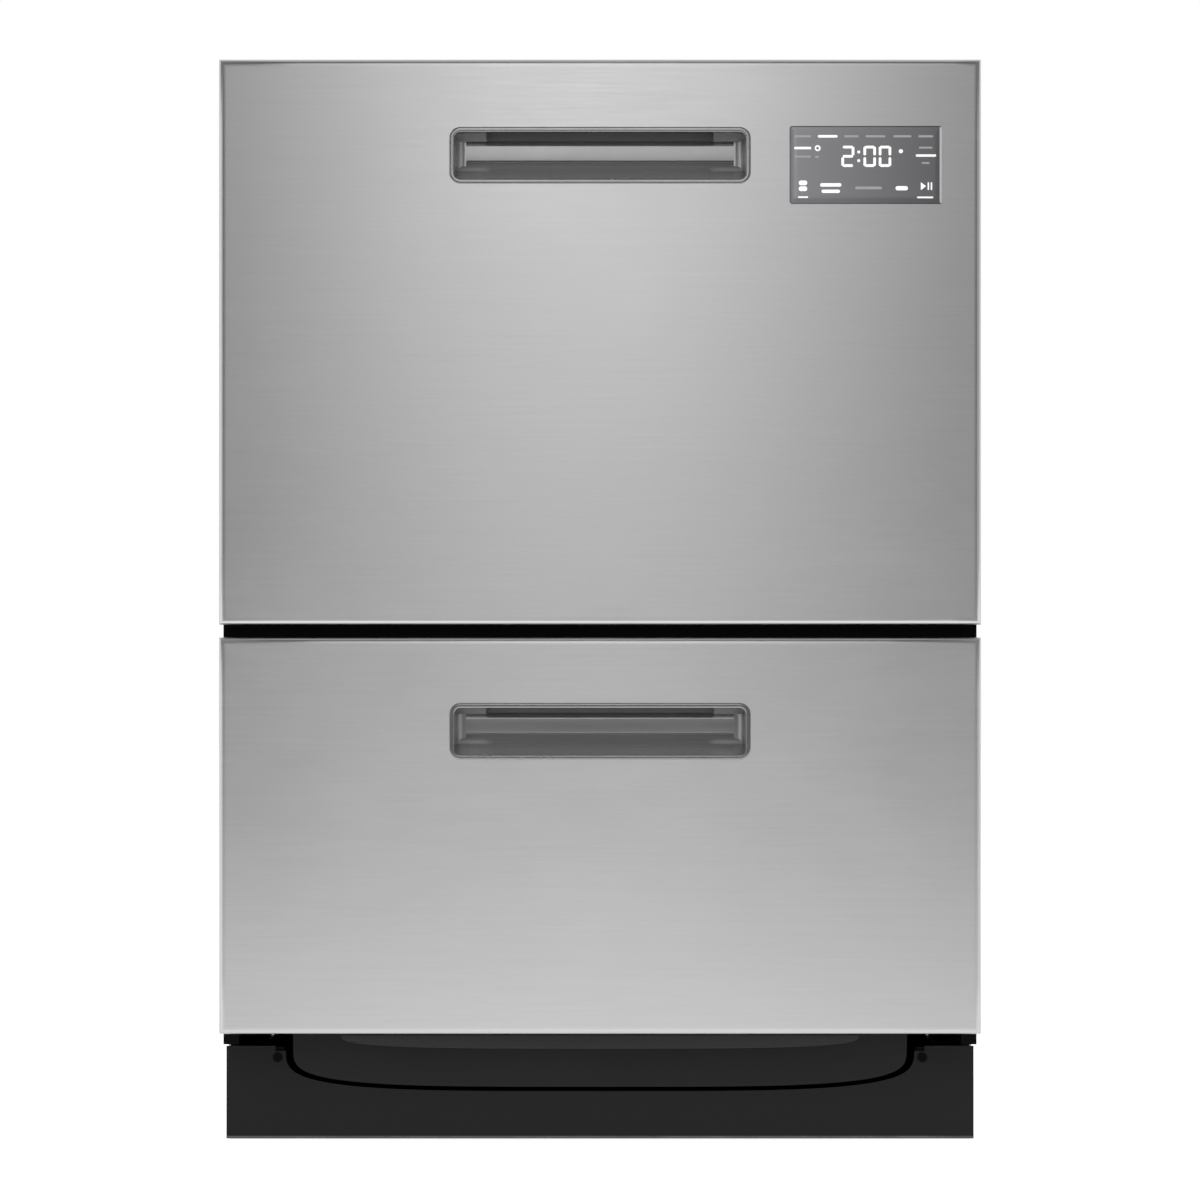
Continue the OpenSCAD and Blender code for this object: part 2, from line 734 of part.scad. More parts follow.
module handle_pocket(d) {
    z = handle_z(d);
    h = handle_h / 2 - rim_w;
    void_x = handle_w / 2 - rim_w;
    back = face_y + pocket_d + pocket_wall;
    color("silver") difference() {
        union() {
            slab_xz(round_rect(0, z, handle_w, handle_h, handle_r), face_y - rim_proud, face_y);
            slab_xz(round_rect(0, z, pocket_w, pocket_h, handle_r - 2), face_y, back);
            block([-grip_w / 2 - pocket_wall, face_y + grip_t - pocket_wall, z],
                [grip_w / 2 + pocket_wall, back, z + h + grip_rise + pocket_wall]);
        }
        // The two ends of the pocket slope in towards the back
        intersection() {
            slab_yz(pocket_void(d), -void_x, void_x);
            slab_xy([[-void_x, face_y - 3], [void_x, face_y - 3], [void_x, face_y],
                [void_x - end_slope, face_y + pocket_d + cut], [-void_x + end_slope, face_y + pocket_d + cut],
                [-void_x, face_y]], z - handle_h, z + handle_h);
            slab_xz(round_rect(0, z, 2 * void_x, 2 * h, handle_r - rim_w), face_y - 3, back + cut);
        }
        block([-grip_w / 2, face_y + grip_t, z + h - end_drop - cut],
            [grip_w / 2, face_y + pocket_d, z + h + grip_rise]);
    }
}

glass_inset = 0.3;
glass_back_y = face_y + glass_inset + display_t;

module display_glass() {
    color("#5a5c60") slab_xz(round_rect(display_x, display_z, display_w, display_h, 1.8),
        face_y + glass_inset, glass_back_y);
}

module_border = 3;
module_floor = 9;

// The electronics' tray behind the window, between the skin and the frame.
module display_module() {
    y1 = panel_back_y - frame_t - slip;
    color("#202020") difference() {
        slab_xz(round_rect(display_x, display_z, display_w + 2 * module_border,
            display_h + 2 * module_border, 3), face_y + skin, y1);
        slab_xz(round_rect(display_x, display_z, display_w + 2 * fit_gap, display_h + 2 * fit_gap, 2),
            face_y, glass_back_y);
        slab_xz(round_rect(display_x, display_z - 12, display_w - 30, display_h - 40, 2),
            glass_back_y + module_floor, y1 + cut);
    }
}

// ---------- tubs ----------

rib_out = 1.8;
rib_h = 4;
rib_gap = 14;
low_rib_lift = 34;
lug_len = 30;
lug_half_h = 12;

module tub(d) {
    rim = rim_z(d);
    floor_out = base_z(d) + under_tub;
    sump_z = floor_out - sump_depth;
    x = hose_x(d);
    z = hose_z(d);
    elbow = tub_y1 + elbow_y;
    color("#c9ccce") difference() {
        union() {
            slab_xy(round_rect(0, tub_y, tub_w, tub_d, tub_r), floor_out, rim);
            slab_xy(round_rect(0, tub_y, tub_w + 2 * rim_out, tub_d + 2 * rim_out, tub_r + rim_out),
                rim - rim_h, rim);
            for (rib_z = [floor_out + low_rib_lift, rail_z(d) + rail_h / 2 + rib_gap])
                slab_xy(round_rect(0, tub_y, tub_w + 2 * rib_out, tub_d + 2 * rib_out, tub_r + rib_out),
                    rib_z, rib_z + rib_h);
            bar_z(0, tub_y, sump_z, floor_out, sump_r + tub_wall);
            // Lugs that the inner runners are screwed to
            for (side = SIDES) on_side(side)
                for (y = [tub_y0 + 2 * lug_len, tub_y, tub_y1 - 3 * lug_len])
                    block([tub_x - 1, y, rail_z(d) - lug_half_h], [rail_x0, y + lug_len, rail_z(d) + lug_half_h]);
            // Drain elbow: its upright part is thinner than the stub, so that their walls cross
            bar_y(x, tub_y1 - 1, elbow + hose_r + 1, z, hose_r + 1);
            bar_z(x, elbow, z, z + elbow_rise, hose_r);
        }
        slab_xy(round_rect(0, tub_y, tub_w - 2 * tub_wall, tub_d - 2 * tub_wall, tub_r - tub_wall, 8),
            floor_out + tub_wall, rim + cut);
        bar_z(0, tub_y, sump_z + tub_wall, floor_out + tub_wall + cut, sump_r);
        bar_z(0, tub_y, sump_z - cut, sump_z + tub_wall + cut, shaft_r + slip);
        bar_y(x, tub_y1 - tub_wall - cut, elbow + 3, z, hose_r - 3);
        bar_z(x, elbow, z, z + elbow_rise + cut, hose_r - 4);
    }
}

cover_depth = cut_depth - cover_lift;
cover_wall = 3;

// Encloses the motor and the sump. The lower one shows in the toe kick's cut-out.
module base_cover(d) {
    z0 = base_z(d);
    top = z0 + under_tub;
    bend = z0 + cover_depth;
    half = cut_half_w - cover_gap;
    inner = half - cover_wall;
    y1 = tub_y1 - 48;
    color("#242424") difference() {
        slab_xz(concat(belly(half, cover_depth, bend), [[half, top], [-half, top]]), kick_y, y1);
        slab_xz(concat(belly(inner, cover_depth - cover_wall, bend), [[inner, top + cut], [-inner, top + cut]]),
            kick_y + cover_wall, y1 - cover_wall);
    }
}

// ---------- wash system ----------

arm_lift = 12;
shaft_rise = 19;
motor_lift = 6;
motor_wall = 22;
motor_slots = 12;

module wash_motor(d) {
    top = base_z(d) + under_tub - sump_depth;
    bottom = base_z(d) + motor_lift;
    arm_z = tub_floor(d) + arm_lift;
    seat_z = tub_floor(d) + plate_t + 1;
    color("#3a3a3a") difference() {
        bar_z(0, tub_y, bottom, top, motor_r);
        bar_z(0, tub_y, bottom - cut, top - motor_lift, motor_r - motor_wall);
        translate([0, tub_y, 0]) for (i = [1:motor_slots]) rotate([0, 0, 360 * i / motor_slots])
            block([motor_r - 14, -5, bottom - cut], [motor_r + cut, 5, top - motor_lift - 2]);
    }
    color("silver") bar_z(0, tub_y, top, arm_z + shaft_rise, shaft_r);
    color("silver") bar_z(0, tub_y, seat_z, arm_z - slip, shaft_r + 4);
}

filter_from_shaft = 58;
filter_wall = 1.5;

module filter_plate(d) {
    z0 = tub_floor(d);
    z1 = z0 + plate_t;
    color("silver") difference() {
        bar_z(0, tub_y, z0, z1, sump_r + 12);
        bar_z(0, tub_y, z0 - cut, z1 + cut, shaft_r + 5);
        bar_z(0, tub_y + filter_from_shaft, z0 - cut, z1 + cut, filter_r + slip);
    }
}

// A cup with a flange and a bar to grip it by.
module drain_filter(d) {
    y = tub_y + filter_from_shaft;
    top = tub_floor(d) + plate_t;
    bottom = base_z(d) + under_tub - sump_depth + tub_wall + slip;
    color("#9aa4ab") {
        difference() {
            union() {
                bar_z(0, y, bottom, top, filter_r);
                bar_z(0, y, top, top + filter_wall, filter_r + 3);
            }
            bar_z(0, y, bottom + filter_wall, top + filter_wall + cut, filter_r - filter_wall);
        }
        block([-filter_r + 1, y - 2, top - 2], [filter_r - 1, y + 2, top + 3]);
    }
}

arm_h = 9;
arm_z0 = 4;
hub_r = 21;
hub_h = 17;
jet_count = 5;
jet_r = 4;
jet_bore_r = 1.4;
jet_x0 = 22;
jet_y = 2;
spray_reach = min(tub_w, tub_d) / 2 - tub_wall - spray_gap;
jet_pitch = (spray_reach - 40) / jet_count;

// Half of the spray arm's outline: a blade that sweeps and narrows to a round end.
function blade(reach) = let (n = 14) concat(
    [for (i = [0:n]) let (t = i / n, x = 10 + (reach - 24) * t) [x, 17 - 7 * t + 12 * t * (1 - t)]],
    arc(reach - 10, 1, 9, 80, -80, 6),
    [for (i = [n:-1:0]) let (t = i / n, x = 10 + (reach - 24) * t) [x, -15 + 7 * t + 12 * t * (1 - t)]]);

module spray_arm(d) {
    color("#8d979e") translate([0, tub_y, tub_floor(d) + arm_lift]) difference() {
        union() {
            cylinder(r = hub_r, h = hub_h);
            for (turn = [0, 180]) rotate([0, 0, turn]) {
                slab_xy(blade(spray_reach), arm_z0, arm_z0 + arm_h);
                for (i = [1:jet_count])
                    bar_z(jet_x0 + i * jet_pitch, jet_y, arm_z0, arm_z0 + arm_h + 2, jet_r);
            }
            for (i = [0:5]) rotate([0, 0, 60 * i]) block([12, -1, hub_h - 1], [hub_r - 1, 1, hub_h + 1.5]);
        }
        bar_z(0, 0, -cut, shaft_rise + 10, shaft_r + bearing);
        for (turn = [0, 180]) rotate([0, 0, turn])
            for (i = [1:jet_count])
                bar_z(jet_x0 + i * jet_pitch, jet_y, arm_h + 3, arm_h + 12, jet_bore_r);
    }
}

// ---------- racks ----------

rack_x = tub_x - tub_wall - 12;
rack_y0 = tub_y0 + tub_wall + 30;
rack_y1 = tub_y1 - tub_wall - 18;
waist_share = 0.47;
tine_x = 62;
tine_y0 = rack_y0 + 36;
tine_count = floor((rack_y1 - tine_y0 - 16) / tine_pitch);
column_count = 12;
column_pitch = 2 * rack_x / column_count;
columns = [-column_count / 2 + 1 : column_count / 2 - 1];
stay_t = 3;
hinge_r = 2;
hinge_x = rack_x - 8;
hinge_drop = 14;
rod_y0 = rack_y0 + 66;
rod_y1 = rack_y1 - 54;
rack_foot_r = 6;

function cup_z(d) = rack_z(d) + rack_side_h - hinge_drop;
function tine_y(i) = tine_y0 + i * tine_pitch;

// One side grid of the rack in YZ, on its right side.
module rack_side(z0, z1, foot_z) {
    y0 = rack_y0 + wire_r + weld_gap;
    y1 = rack_y1 - wire_r - weld_gap;
    wire([rack_x, y0, z1], [rack_x, y1, z1], wire_r);
    wire([rack_x, y0, z0 + waist_share * rack_side_h], [rack_x, y1, z0 + waist_share * rack_side_h], tine_r);
    for (i = [0:2:tine_count]) wire([rack_x, tine_y(i), foot_z], [rack_x, tine_y(i), z1], tine_r);
}

// A wire basket of flat grids, with two rows of tines that hold plates, on four feet.
module rack(d) {
    z0 = rack_z(d);
    z1 = z0 + rack_side_h;
    foot_z = z0 + wire_r + weld_gap;
    color("#aab3b8") {
        // Floor grid with a frame, and a thicker wire under each row of tines
        union() {
            for (y = [rack_y0, rack_y1]) wire([-rack_x - wire_r, y, z0], [rack_x + wire_r, y, z0], wire_r);
            for (x = [-rack_x, -tine_x, tine_x, rack_x]) wire([x, rack_y0, z0], [x, rack_y1, z0], wire_r);
            for (i = columns) wire([i * column_pitch, rack_y0, z0], [i * column_pitch, rack_y1, z0], tine_r);
            for (i = [0:2:tine_count]) wire([-rack_x, tine_y(i), z0], [rack_x, tine_y(i), z0], tine_r);
        }
        // Front and rear grids
        for (y = [rack_y0, rack_y1]) {
            wire([-rack_x - wire_r, y, z1], [rack_x + wire_r, y, z1], wire_r);
            for (i = [-column_count / 2 + 1 : 2 : column_count / 2 - 1])
                wire([i * column_pitch, y, foot_z], [i * column_pitch, y, z1], tine_r);
        }
        mirror([1, 0, 0]) rack_side(z0, z1, foot_z);
        rack_side(z0, z1, foot_z);
        // The rod that the cup rack hinges on, with the two stays that hold it on the right side
        bar_y(hinge_x, rod_y0, rod_y1, cup_z(d), hinge_r);
        for (y = [rod_y0 + stay_t, rod_y1 - 2 * stay_t])
            block([hinge_x - stay_t, y, cup_z(d) - stay_t], [rack_x - wire_r - weld_gap, y + stay_t, z1]);
        for (x = [-tine_x, tine_x])
            for (i = [0:tine_count]) wire([x, tine_y(i), foot_z], [x, tine_y(i), z0 + tine_h], tine_r);
        // Feet that stand on the tub's floor
        for (x = [-5 * column_pitch, 5 * column_pitch])
            for (y = [tine_y0, tine_y(2 * floor(tine_count / 2))])
                bar_z(x, y, tub_floor(d), z0 - tine_r - weld_gap, rack_foot_r);
    }
}

barrel_r = 4.2;
barrel_len = 20;
cup_t = 3;
cup_lip = 6;
slot_rows = 5;
slot_w = 28;
slot_rib = 10;

// A shelf for cups that folds up against the rack's right side.
module cup_rack(d) {
    y0 = rod_y0 + stay_t + 7;
    y1 = rod_y1 - stay_t - 7;
    z = cup_z(d);
    x0 = hinge_x - cup_rack_w;
    slot_pitch = (y1 - y0 - slot_rib) / slot_rows;
    barrels = [y0 + cup_lip, y1 - cup_lip - barrel_len];
    color("#8d979e") difference() {
        union() {
            slab_xy(round_rect((x0 + hinge_x - 5) / 2, (y0 + y1) / 2, cup_rack_w - 5, y1 - y0, 10),
                z - cup_t / 2, z + cup_t / 2);
            block([x0, y0 + 14, z - 4], [x0 + cup_t, y1 - 14, z + cup_lip]);
            for (y = barrels) {
                bar_y(hinge_x, y, y + barrel_len, z, barrel_r);
                block([hinge_x - 8, y, z - cup_t / 2], [hinge_x, y + barrel_len, z + cup_t / 2]);
            }
        }
        for (y = barrels) bar_y(hinge_x, y - cut, y + barrel_len + cut, z, hinge_r + bearing);
        for (i = [0 : slot_rows - 1])
            for (j = [0:1])
                slab_xy(round_rect(x0 + 26 + j * (slot_w + slot_rib), y0 + slot_rib / 2 + (i + 0.5) * slot_pitch,
                    slot_w, slot_pitch - slot_rib, 6), z - cup_t, z + cup_t);
    }
}

basket_wall = 2;
cells = 3;
cell_slots = 3;
cell_slot_w = 11;
cell_slot_pitch = 19;

// Open-topped box with slots in its walls, on the left of the rack.
module cutlery_basket(d) {
    x = -rack_x + wire_r + 3 + basket_w / 2;
    z = rack_z(d) + tine_r;
    cell_len = basket_len / cells;
    slot_z = z + 0.45 * basket_h;
    color("#8d979e") difference() {
        slab_xy(round_rect(x, tub_y, basket_w, basket_len, 8), z, z + basket_h);
        for (i = [-1:1]) {
            y = tub_y + i * cell_len;
            slab_xy(round_rect(x, y, basket_w - 2 * basket_wall, cell_len - basket_wall - fit_gap, 6),
                z + basket_wall, z + basket_h + cut);
            for (j = [-1:1])
                slab_yz(round_rect(y + j * cell_slot_pitch, slot_z, cell_slot_w, 0.62 * basket_h,
                    cell_slot_w / 2), x - basket_w, x + basket_w);
        }
    }
}

// ---------- dispensers ----------

dispenser_w = 150;
dispenser_h = 86;
dispenser_t = 20;
dispenser_drop = 70;
dispenser_y = tub_y0 + tub_wall + dispenser_t;
flap_w = 62;
flap_h = 52;
flap_x = -28;
flap_t = 3.2;
flap_pin_r = 1;
flap_pin_y = dispenser_y + 2;
cap_x = 44;
cap_r = 17;
cheek_t = 3;

function dispenser_z(d) = rim_z(d) - dispenser_drop;
function flap_hinge_z(d) = dispenser_z(d) - flap_h / 2 + 3;

// A housing on the tub's front wall, with a powder cup behind the flap and a rinse-aid cap.
module dispenser(d) {
    z = dispenser_z(d);
    y = dispenser_y;
    hinge = flap_hinge_z(d);
    color("#dfe3e5") difference() {
        union() {
            slab_xz(round_rect(0, z, dispenser_w, dispenser_h, 8), tub_y0 + tub_wall, y);
            bar_y(cap_x, y, y + 5, z, cap_r);
            block([cap_x - 12, y + 5, z - 2], [cap_x + 12, y + 8, z + 2]);
            for (x = [flap_x - flap_w / 2 - cheek_t, flap_x + flap_w / 2 + slip])
                block([x, y - 1, hinge - 4], [x + cheek_t - slip, y + 5.4, hinge + 4]);
            bar_x(flap_x - flap_w / 2 - 1, flap_x + flap_w / 2 + 1, flap_pin_y, hinge, flap_pin_r);
        }
        slab_xz(round_rect(flap_x, z + 1, flap_w - 8, flap_h - 12, 6), tub_y0 + tub_wall + cheek_t, y + cut);
    }
}

module dispenser_flap(d) {
    z = dispenser_z(d);
    y = dispenser_y;
    hinge = flap_hinge_z(d);
    half = flap_w / 2 - slip;
    tip = z + flap_h / 2;
    color("#c4cbcf") difference() {
        union() {
            slab_xz(round_rect(flap_x, z + 3, 2 * half, flap_h - 2, 5), y + slip, y + flap_t);
            bar_x(flap_x - half, flap_x + half, flap_pin_y, hinge, 1.7);
            block([flap_x - 10, y + flap_t, tip - 8], [flap_x + 10, y + 6, tip - 5]);
        }
        bar_x(flap_x - half - cut, flap_x + half + cut, flap_pin_y, hinge, flap_pin_r + bearing);
    }
}

// ---------- runners ----------

rail_y0 = shell_y + 4;
rail_y1 = rear_y - rail_back_gap;
outer_h = rail_h / 2;
mid_h = outer_h - rail_t - slip;
inner_h = mid_h - rail_t - slip;
bracket_len = 26;
bracket_half_h = 15;
bracket_from_front = 50;
bracket_from_back = 80;

// A channel with its web on the cabinet's side, or on the tub's, between two positions along X.
module channel(x0, x1, half_h, z, web_at_x1) {
    web = web_at_x1 ? [x1 - rail_t, x1] : [x0, x0 + rail_t];
    block([web[0], rail_y0, z - half_h], [web[1], rail_y1, z + half_h]);
    for (flange_z = [z - half_h, z + half_h - rail_t])
        block([x0, rail_y0, flange_z], [x1, rail_y1, flange_z + rail_t]);
}

module fixed_runners() {
    color("#b8bcc0") for (d = DRAWERS) for (side = SIDES) on_side(side) {
        z = rail_z(d);
        channel(rail_x0 + 1, rail_x1, outer_h, z, true);
        for (y = [rail_y0 + bracket_from_front, rail_y1 - bracket_from_back]) difference() {
            block([rail_x1, y, z - bracket_half_h], [in_x, y + bracket_len, z + bracket_half_h]);
            block([rail_x1 + 1.5, y + 4, z - bracket_half_h - cut],
                [in_x + cut, y + bracket_len - 4, z + bracket_half_h + cut]);
        }
    }
}

module mid_runners(d) {
    color("#c8ccd0") for (side = SIDES) on_side(side)
        channel(rail_x0 + 2, rail_x1 - rail_t - slip, mid_h, rail_z(d), true);
}

module inner_runners(d) {
    color("#c8ccd0") for (side = SIDES) on_side(side)
        channel(rail_x0, rail_x1 - 2 * rail_t - 2 * slip, inner_h, rail_z(d), false);
}

// ---------- lids ----------

lid_x = tub_x + rim_out + fit_gap;
lid_y = tub_d / 2 + rim_out + fit_gap;
lid_r = tub_r + rim_out;
lid_edge = 12;
lid_sink = 5;
seal_w = 9;
rod_x = rail_x1;
rod_r = 3;
rod_len = 30;
ear_lift = 6;
ear_t = 4;
ear_half = 10;

// The lid's outline, drawn in from its edge by an inset.
function lid_outline(inset) = round_rect(0, tub_y, 2 * (lid_x - inset), 2 * (lid_y - inset), lid_r - inset);

module lid(d) {
    z = lid_z(d);
    color("#b9bec2") {
        difference() {
            slab_xy(lid_outline(0), z, z + lid_h);
            slab_xy(lid_outline(lid_edge), z - cut, z + lid_h - 8);
            for (side = SIDES)
                slab_xy(round_rect(side * lid_x / 2, tub_y, lid_x - 50, 2 * lid_y - 60, 14),
                    z + lid_h - lid_sink, z + lid_h + cut);
        }
        for (side = SIDES) on_side(side) {
            block([lid_x - 1, tub_y - ear_half, z + ear_lift], [rod_x + 5, tub_y + ear_half, z + ear_lift + ear_t]);
            bar_z(rod_x, tub_y, rim_z(d) - rod_len, z + ear_lift, rod_r);
        }
    }
}

module lid_seal(d) {
    z = lid_z(d);
    color("#3c3c3c") difference() {
        slab_xy(lid_outline(0), z - seal_h, z);
        slab_xy(lid_outline(seal_w), z - seal_h - cut, z + cut);
    }
}

actuator_half = 24;
actuator_h = 49;
actuator_lift = 5;
gearmotor_r = 8.5;
gearmotor_len = 26;

// A geared motor on each side of each bay draws its lid down on two rods.
module lid_actuators() {
    x0 = lid_x + 3;
    color("#e6e6e0") for (d = DRAWERS) for (side = SIDES) on_side(side) {
        top = rim_z(d) + actuator_lift;
        y1 = tub_y + actuator_half;
        difference() {
            union() {
                block([x0, tub_y - actuator_half, top - actuator_h], [in_x, y1, top]);
                bar_y((x0 + in_x) / 2, y1, y1 + gearmotor_len, top - actuator_h / 2, gearmotor_r);
            }
            bar_z(rod_x, tub_y, rim_z(d) - rod_len - 10, top + cut, rod_r + bearing);
        }
    }
}

// ---------- link hoses ----------

hose_r = 9;
pipe_r = 9;
elbow_y = 26;
elbow_rise = 16;
hose_lift = 40;
hose_span = 380;
pipe_y = tub_y1 + 40;

// The two hoses are set apart, so that the upper pipe passes beside the lower hose.
function hose_x(d) = d == UPPER ? 150 : 190;
function pipe_x(d) = hose_x(d) - hose_span;
function hose_z(d) = tub_floor(d) + hose_lift;

// The hose arches from the tub's elbow over to its pipe, with enough length for the open drawer.
hose_route = [
    [0, 26, 16], [0, 26, 30], [-1, 26, 60], [-6, 26, 93], [-16, 26, 124], [-31, 27, 152],
    [-50, 27, 177], [-73, 28, 198], [-99, 29, 215], [-128, 30, 226], [-159, 31, 234],
    [-190, 32, 236], [-221, 33, 234], [-252, 34, 226], [-281, 35, 215], [-307, 36, 198],
    [-330, 37, 177], [-349, 38, 152], [-364, 39, 124], [-374, 40, 93], [-379, 40, 60],
    [-380, 40, 30], [-380, 40, 16]
];
hose_sides = 10;

// A tube through points: each ring is square to the route there.
module swept_tube(points, r, sides) {
    n = len(points);
    ring = [for (i = [0 : n - 1])
        let (run = points[min(i + 1, n - 1)] - points[max(i - 1, 0)],
             ahead = run / norm(run),
             right = cross(ahead, [0, 1, 0]) / norm(cross(ahead, [0, 1, 0])),
             up = cross(right, ahead))
        for (k = [0 : sides - 1]) let (a = 360 * k / sides)
            points[i] + r * (cos(a) * right + sin(a) * up)];
    quads = [for (i = [0 : n - 2]) for (k = [0 : sides - 1])
        let (a = i * sides + k, b = i * sides + (k + 1) % sides)
        each [[a, b, b + sides], [a, b + sides, a + sides]]];
    first = [for (k = [1 : sides - 2]) [0, k + 1, k]];
    last = [for (k = [1 : sides - 2]) [(n - 1) * sides, (n - 1) * sides + k, (n - 1) * sides + k + 1]];
    polyhedron(points = ring, faces = concat(quads, first, last), convexity = 6);
}

module link_hose(d) {
    color("#4a4a4a") translate([hose_x(d), tub_y1, hose_z(d)]) swept_tube(hose_route, hose_r, hose_sides);
}

side_panel(-1);  // side_panel_left
side_panel(1);  // side_panel_right
top_panel();
rear_panel();
base_tray();
bay_divider();
front_surround();
toe_kick();
kick_screws();
inlet_valve();
drain_pipes();
power_inlet();
control_module();
fixed_runners();
lid_actuators();
foot(-1, foot_front_y);  // foot_front_left
foot(1, foot_front_y);  // foot_front_right
foot(-1, foot_back_y);  // foot_rear_left
foot(1, foot_back_y);  // foot_rear_right
display_glass();
display_module();
front_panel(UPPER);  // upper_front_panel
panel_frame(UPPER);  // upper_panel_frame
handle_pocket(UPPER);  // upper_handle_pocket
tub(UPPER);  // upper_tub
base_cover(UPPER);  // upper_base_cover
filter_plate(UPPER);  // upper_filter_plate
drain_filter(UPPER);  // upper_drain_filter
wash_motor(UPPER);  // upper_wash_motor
spray_arm(UPPER);  // upper_spray_arm
rack(UPPER);  // upper_rack
cup_rack(UPPER);  // upper_cup_rack
cutlery_basket(UPPER);  // upper_cutlery_basket
dispenser(UPPER);  // upper_dispenser
dispenser_flap(UPPER);  // upper_dispenser_flap
mid_runners(UPPER);  // upper_mid_runners
inner_runners(UPPER);  // upper_inner_runners
lid(UPPER);  // upper_lid
lid_seal(UPPER);  // upper_lid_seal
link_hose(UPPER);  // upper_link_hose
front_panel(LOWER);  // lower_front_panel
panel_frame(LOWER);  // lower_panel_frame
handle_pocket(LOWER);  // lower_handle_pocket
tub(LOWER);  // lower_tub
base_cover(LOWER);  // lower_base_cover
filter_plate(LOWER);  // lower_filter_plate
drain_filter(LOWER);  // lower_drain_filter
wash_motor(LOWER);  // lower_wash_motor
spray_arm(LOWER);  // lower_spray_arm
rack(LOWER);  // lower_rack
cup_rack(LOWER);  // lower_cup_rack
cutlery_basket(LOWER);  // lower_cutlery_basket
dispenser(LOWER);  // lower_dispenser
dispenser_flap(LOWER);  // lower_dispenser_flap
mid_runners(LOWER);  // lower_mid_runners
inner_runners(LOWER);  // lower_inner_runners
lid(LOWER);  // lower_lid
lid_seal(LOWER);  // lower_lid_seal
link_hose(LOWER);  // lower_link_hose
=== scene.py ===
"""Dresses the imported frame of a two-drawer dishwasher and puts it in a plain pale studio.

Sizes are worked out in millimetres and become metres when a mesh is made. The door panels face -Y,
Z is up and the floor is at Z 0.
"""

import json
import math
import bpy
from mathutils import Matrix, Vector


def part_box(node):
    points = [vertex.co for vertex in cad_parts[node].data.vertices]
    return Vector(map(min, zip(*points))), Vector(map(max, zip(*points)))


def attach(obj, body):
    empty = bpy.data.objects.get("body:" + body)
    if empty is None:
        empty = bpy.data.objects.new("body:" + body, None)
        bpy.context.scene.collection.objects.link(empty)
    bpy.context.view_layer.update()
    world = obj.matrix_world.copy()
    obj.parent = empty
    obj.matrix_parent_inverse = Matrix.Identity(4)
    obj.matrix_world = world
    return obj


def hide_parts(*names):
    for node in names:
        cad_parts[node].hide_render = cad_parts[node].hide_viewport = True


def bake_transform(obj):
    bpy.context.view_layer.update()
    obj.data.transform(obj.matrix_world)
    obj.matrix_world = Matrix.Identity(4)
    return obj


bl_info = {
    "name": "Two-Drawer Dishwasher",
    "version": (1, 0, 0),
    "blender": (4, 5, 0),
    "location": "3D View > Sidebar > Dishwasher",
    "description": "Stainless door panels, handles, display, racks, hoses and finishes for the packed frame",
    "category": "Object",
}

import bmesh
import bpy
import numpy as np
from bpy.props import FloatProperty, FloatVectorProperty, IntProperty, PointerProperty
from mathutils import Vector

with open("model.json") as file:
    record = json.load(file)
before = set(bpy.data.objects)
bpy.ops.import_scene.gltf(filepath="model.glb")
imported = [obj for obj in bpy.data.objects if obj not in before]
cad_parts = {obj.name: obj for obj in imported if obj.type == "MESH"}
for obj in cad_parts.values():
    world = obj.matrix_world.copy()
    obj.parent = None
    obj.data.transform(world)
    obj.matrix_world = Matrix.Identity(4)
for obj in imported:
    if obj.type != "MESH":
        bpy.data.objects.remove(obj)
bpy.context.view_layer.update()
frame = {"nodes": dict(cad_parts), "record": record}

MM = 0.001
DRAWERS = ("upper", "lower")


def span(node):
    """Lowest and highest corner of a CAD node, in millimetres."""
    low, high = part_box(node)
    return np.array(low) / MM, np.array(high) / MM


# ---------- places read from the frame ----------

PANEL = {s: span(f"{s}_front_panel") for s in DRAWERS}
POCKET = {s: span(f"{s}_handle_pocket") for s in DRAWERS}
RACK = {s: span(f"{s}_rack") for s in DRAWERS}
ARM = {s: span(f"{s}_spray_arm") for s in DRAWERS}
TUB_FLOOR = {s: span(f"{s}_filter_plate")[0][2] for s in DRAWERS}
GLASS = span("display_glass")
CABINET = span("top_panel")
REAR = span("rear_panel")
KICK = span("toe_kick")
SEAL = span("upper_lid_seal")
FACE_Y = PANEL["upper"][0][1]
HANDLE_W = POCKET["upper"][1][0] - POCKET["upper"][0][0]
HANDLE_H = 44.7
HANDLE_R = 9.0
RIM_W = 4.0
SEAL_OUT = 4.5  # how far a lid's seal stands out beyond its tub's outer wall
TUB_D = SEAL[1][1] - SEAL[0][1] - 2 * SEAL_OUT
TUB_Y = (SEAL[0][1] + SEAL[1][1]) / 2
TUB_W = 2 * (SEAL[1][0] - SEAL_OUT)
TUB_WALL = 4.0


def handle_z(s):
    """Height of a handle's centre: its rim starts at the pocket's lowest point."""
    return POCKET[s][0][2] + HANDLE_H / 2


# ---------- what a user would change ----------


def colour_prop(name, description, default):
    """A linear colour."""
    return FloatVectorProperty(
        name=name, description=description, default=default, subtype="COLOR", size=3, min=0.0, max=1.0
    )


def length_prop(name, description, default, low, high):
    """A length in metres, given here in millimetres."""
    return FloatProperty(
        name=name, description=description, default=default * MM, min=low * MM, max=high * MM,
        unit="LENGTH", subtype="DISTANCE", precision=4,
    )


def metres_prop(name, description, default, low, high):
    """A length in metres."""
    return FloatProperty(
        name=name, description=description, default=default, min=low, max=high, unit="LENGTH", subtype="DISTANCE"
    )


def light_prop(name, description, default):
    """A brightness or a grey of the studio."""
    return FloatProperty(name=name, description=description, default=default)


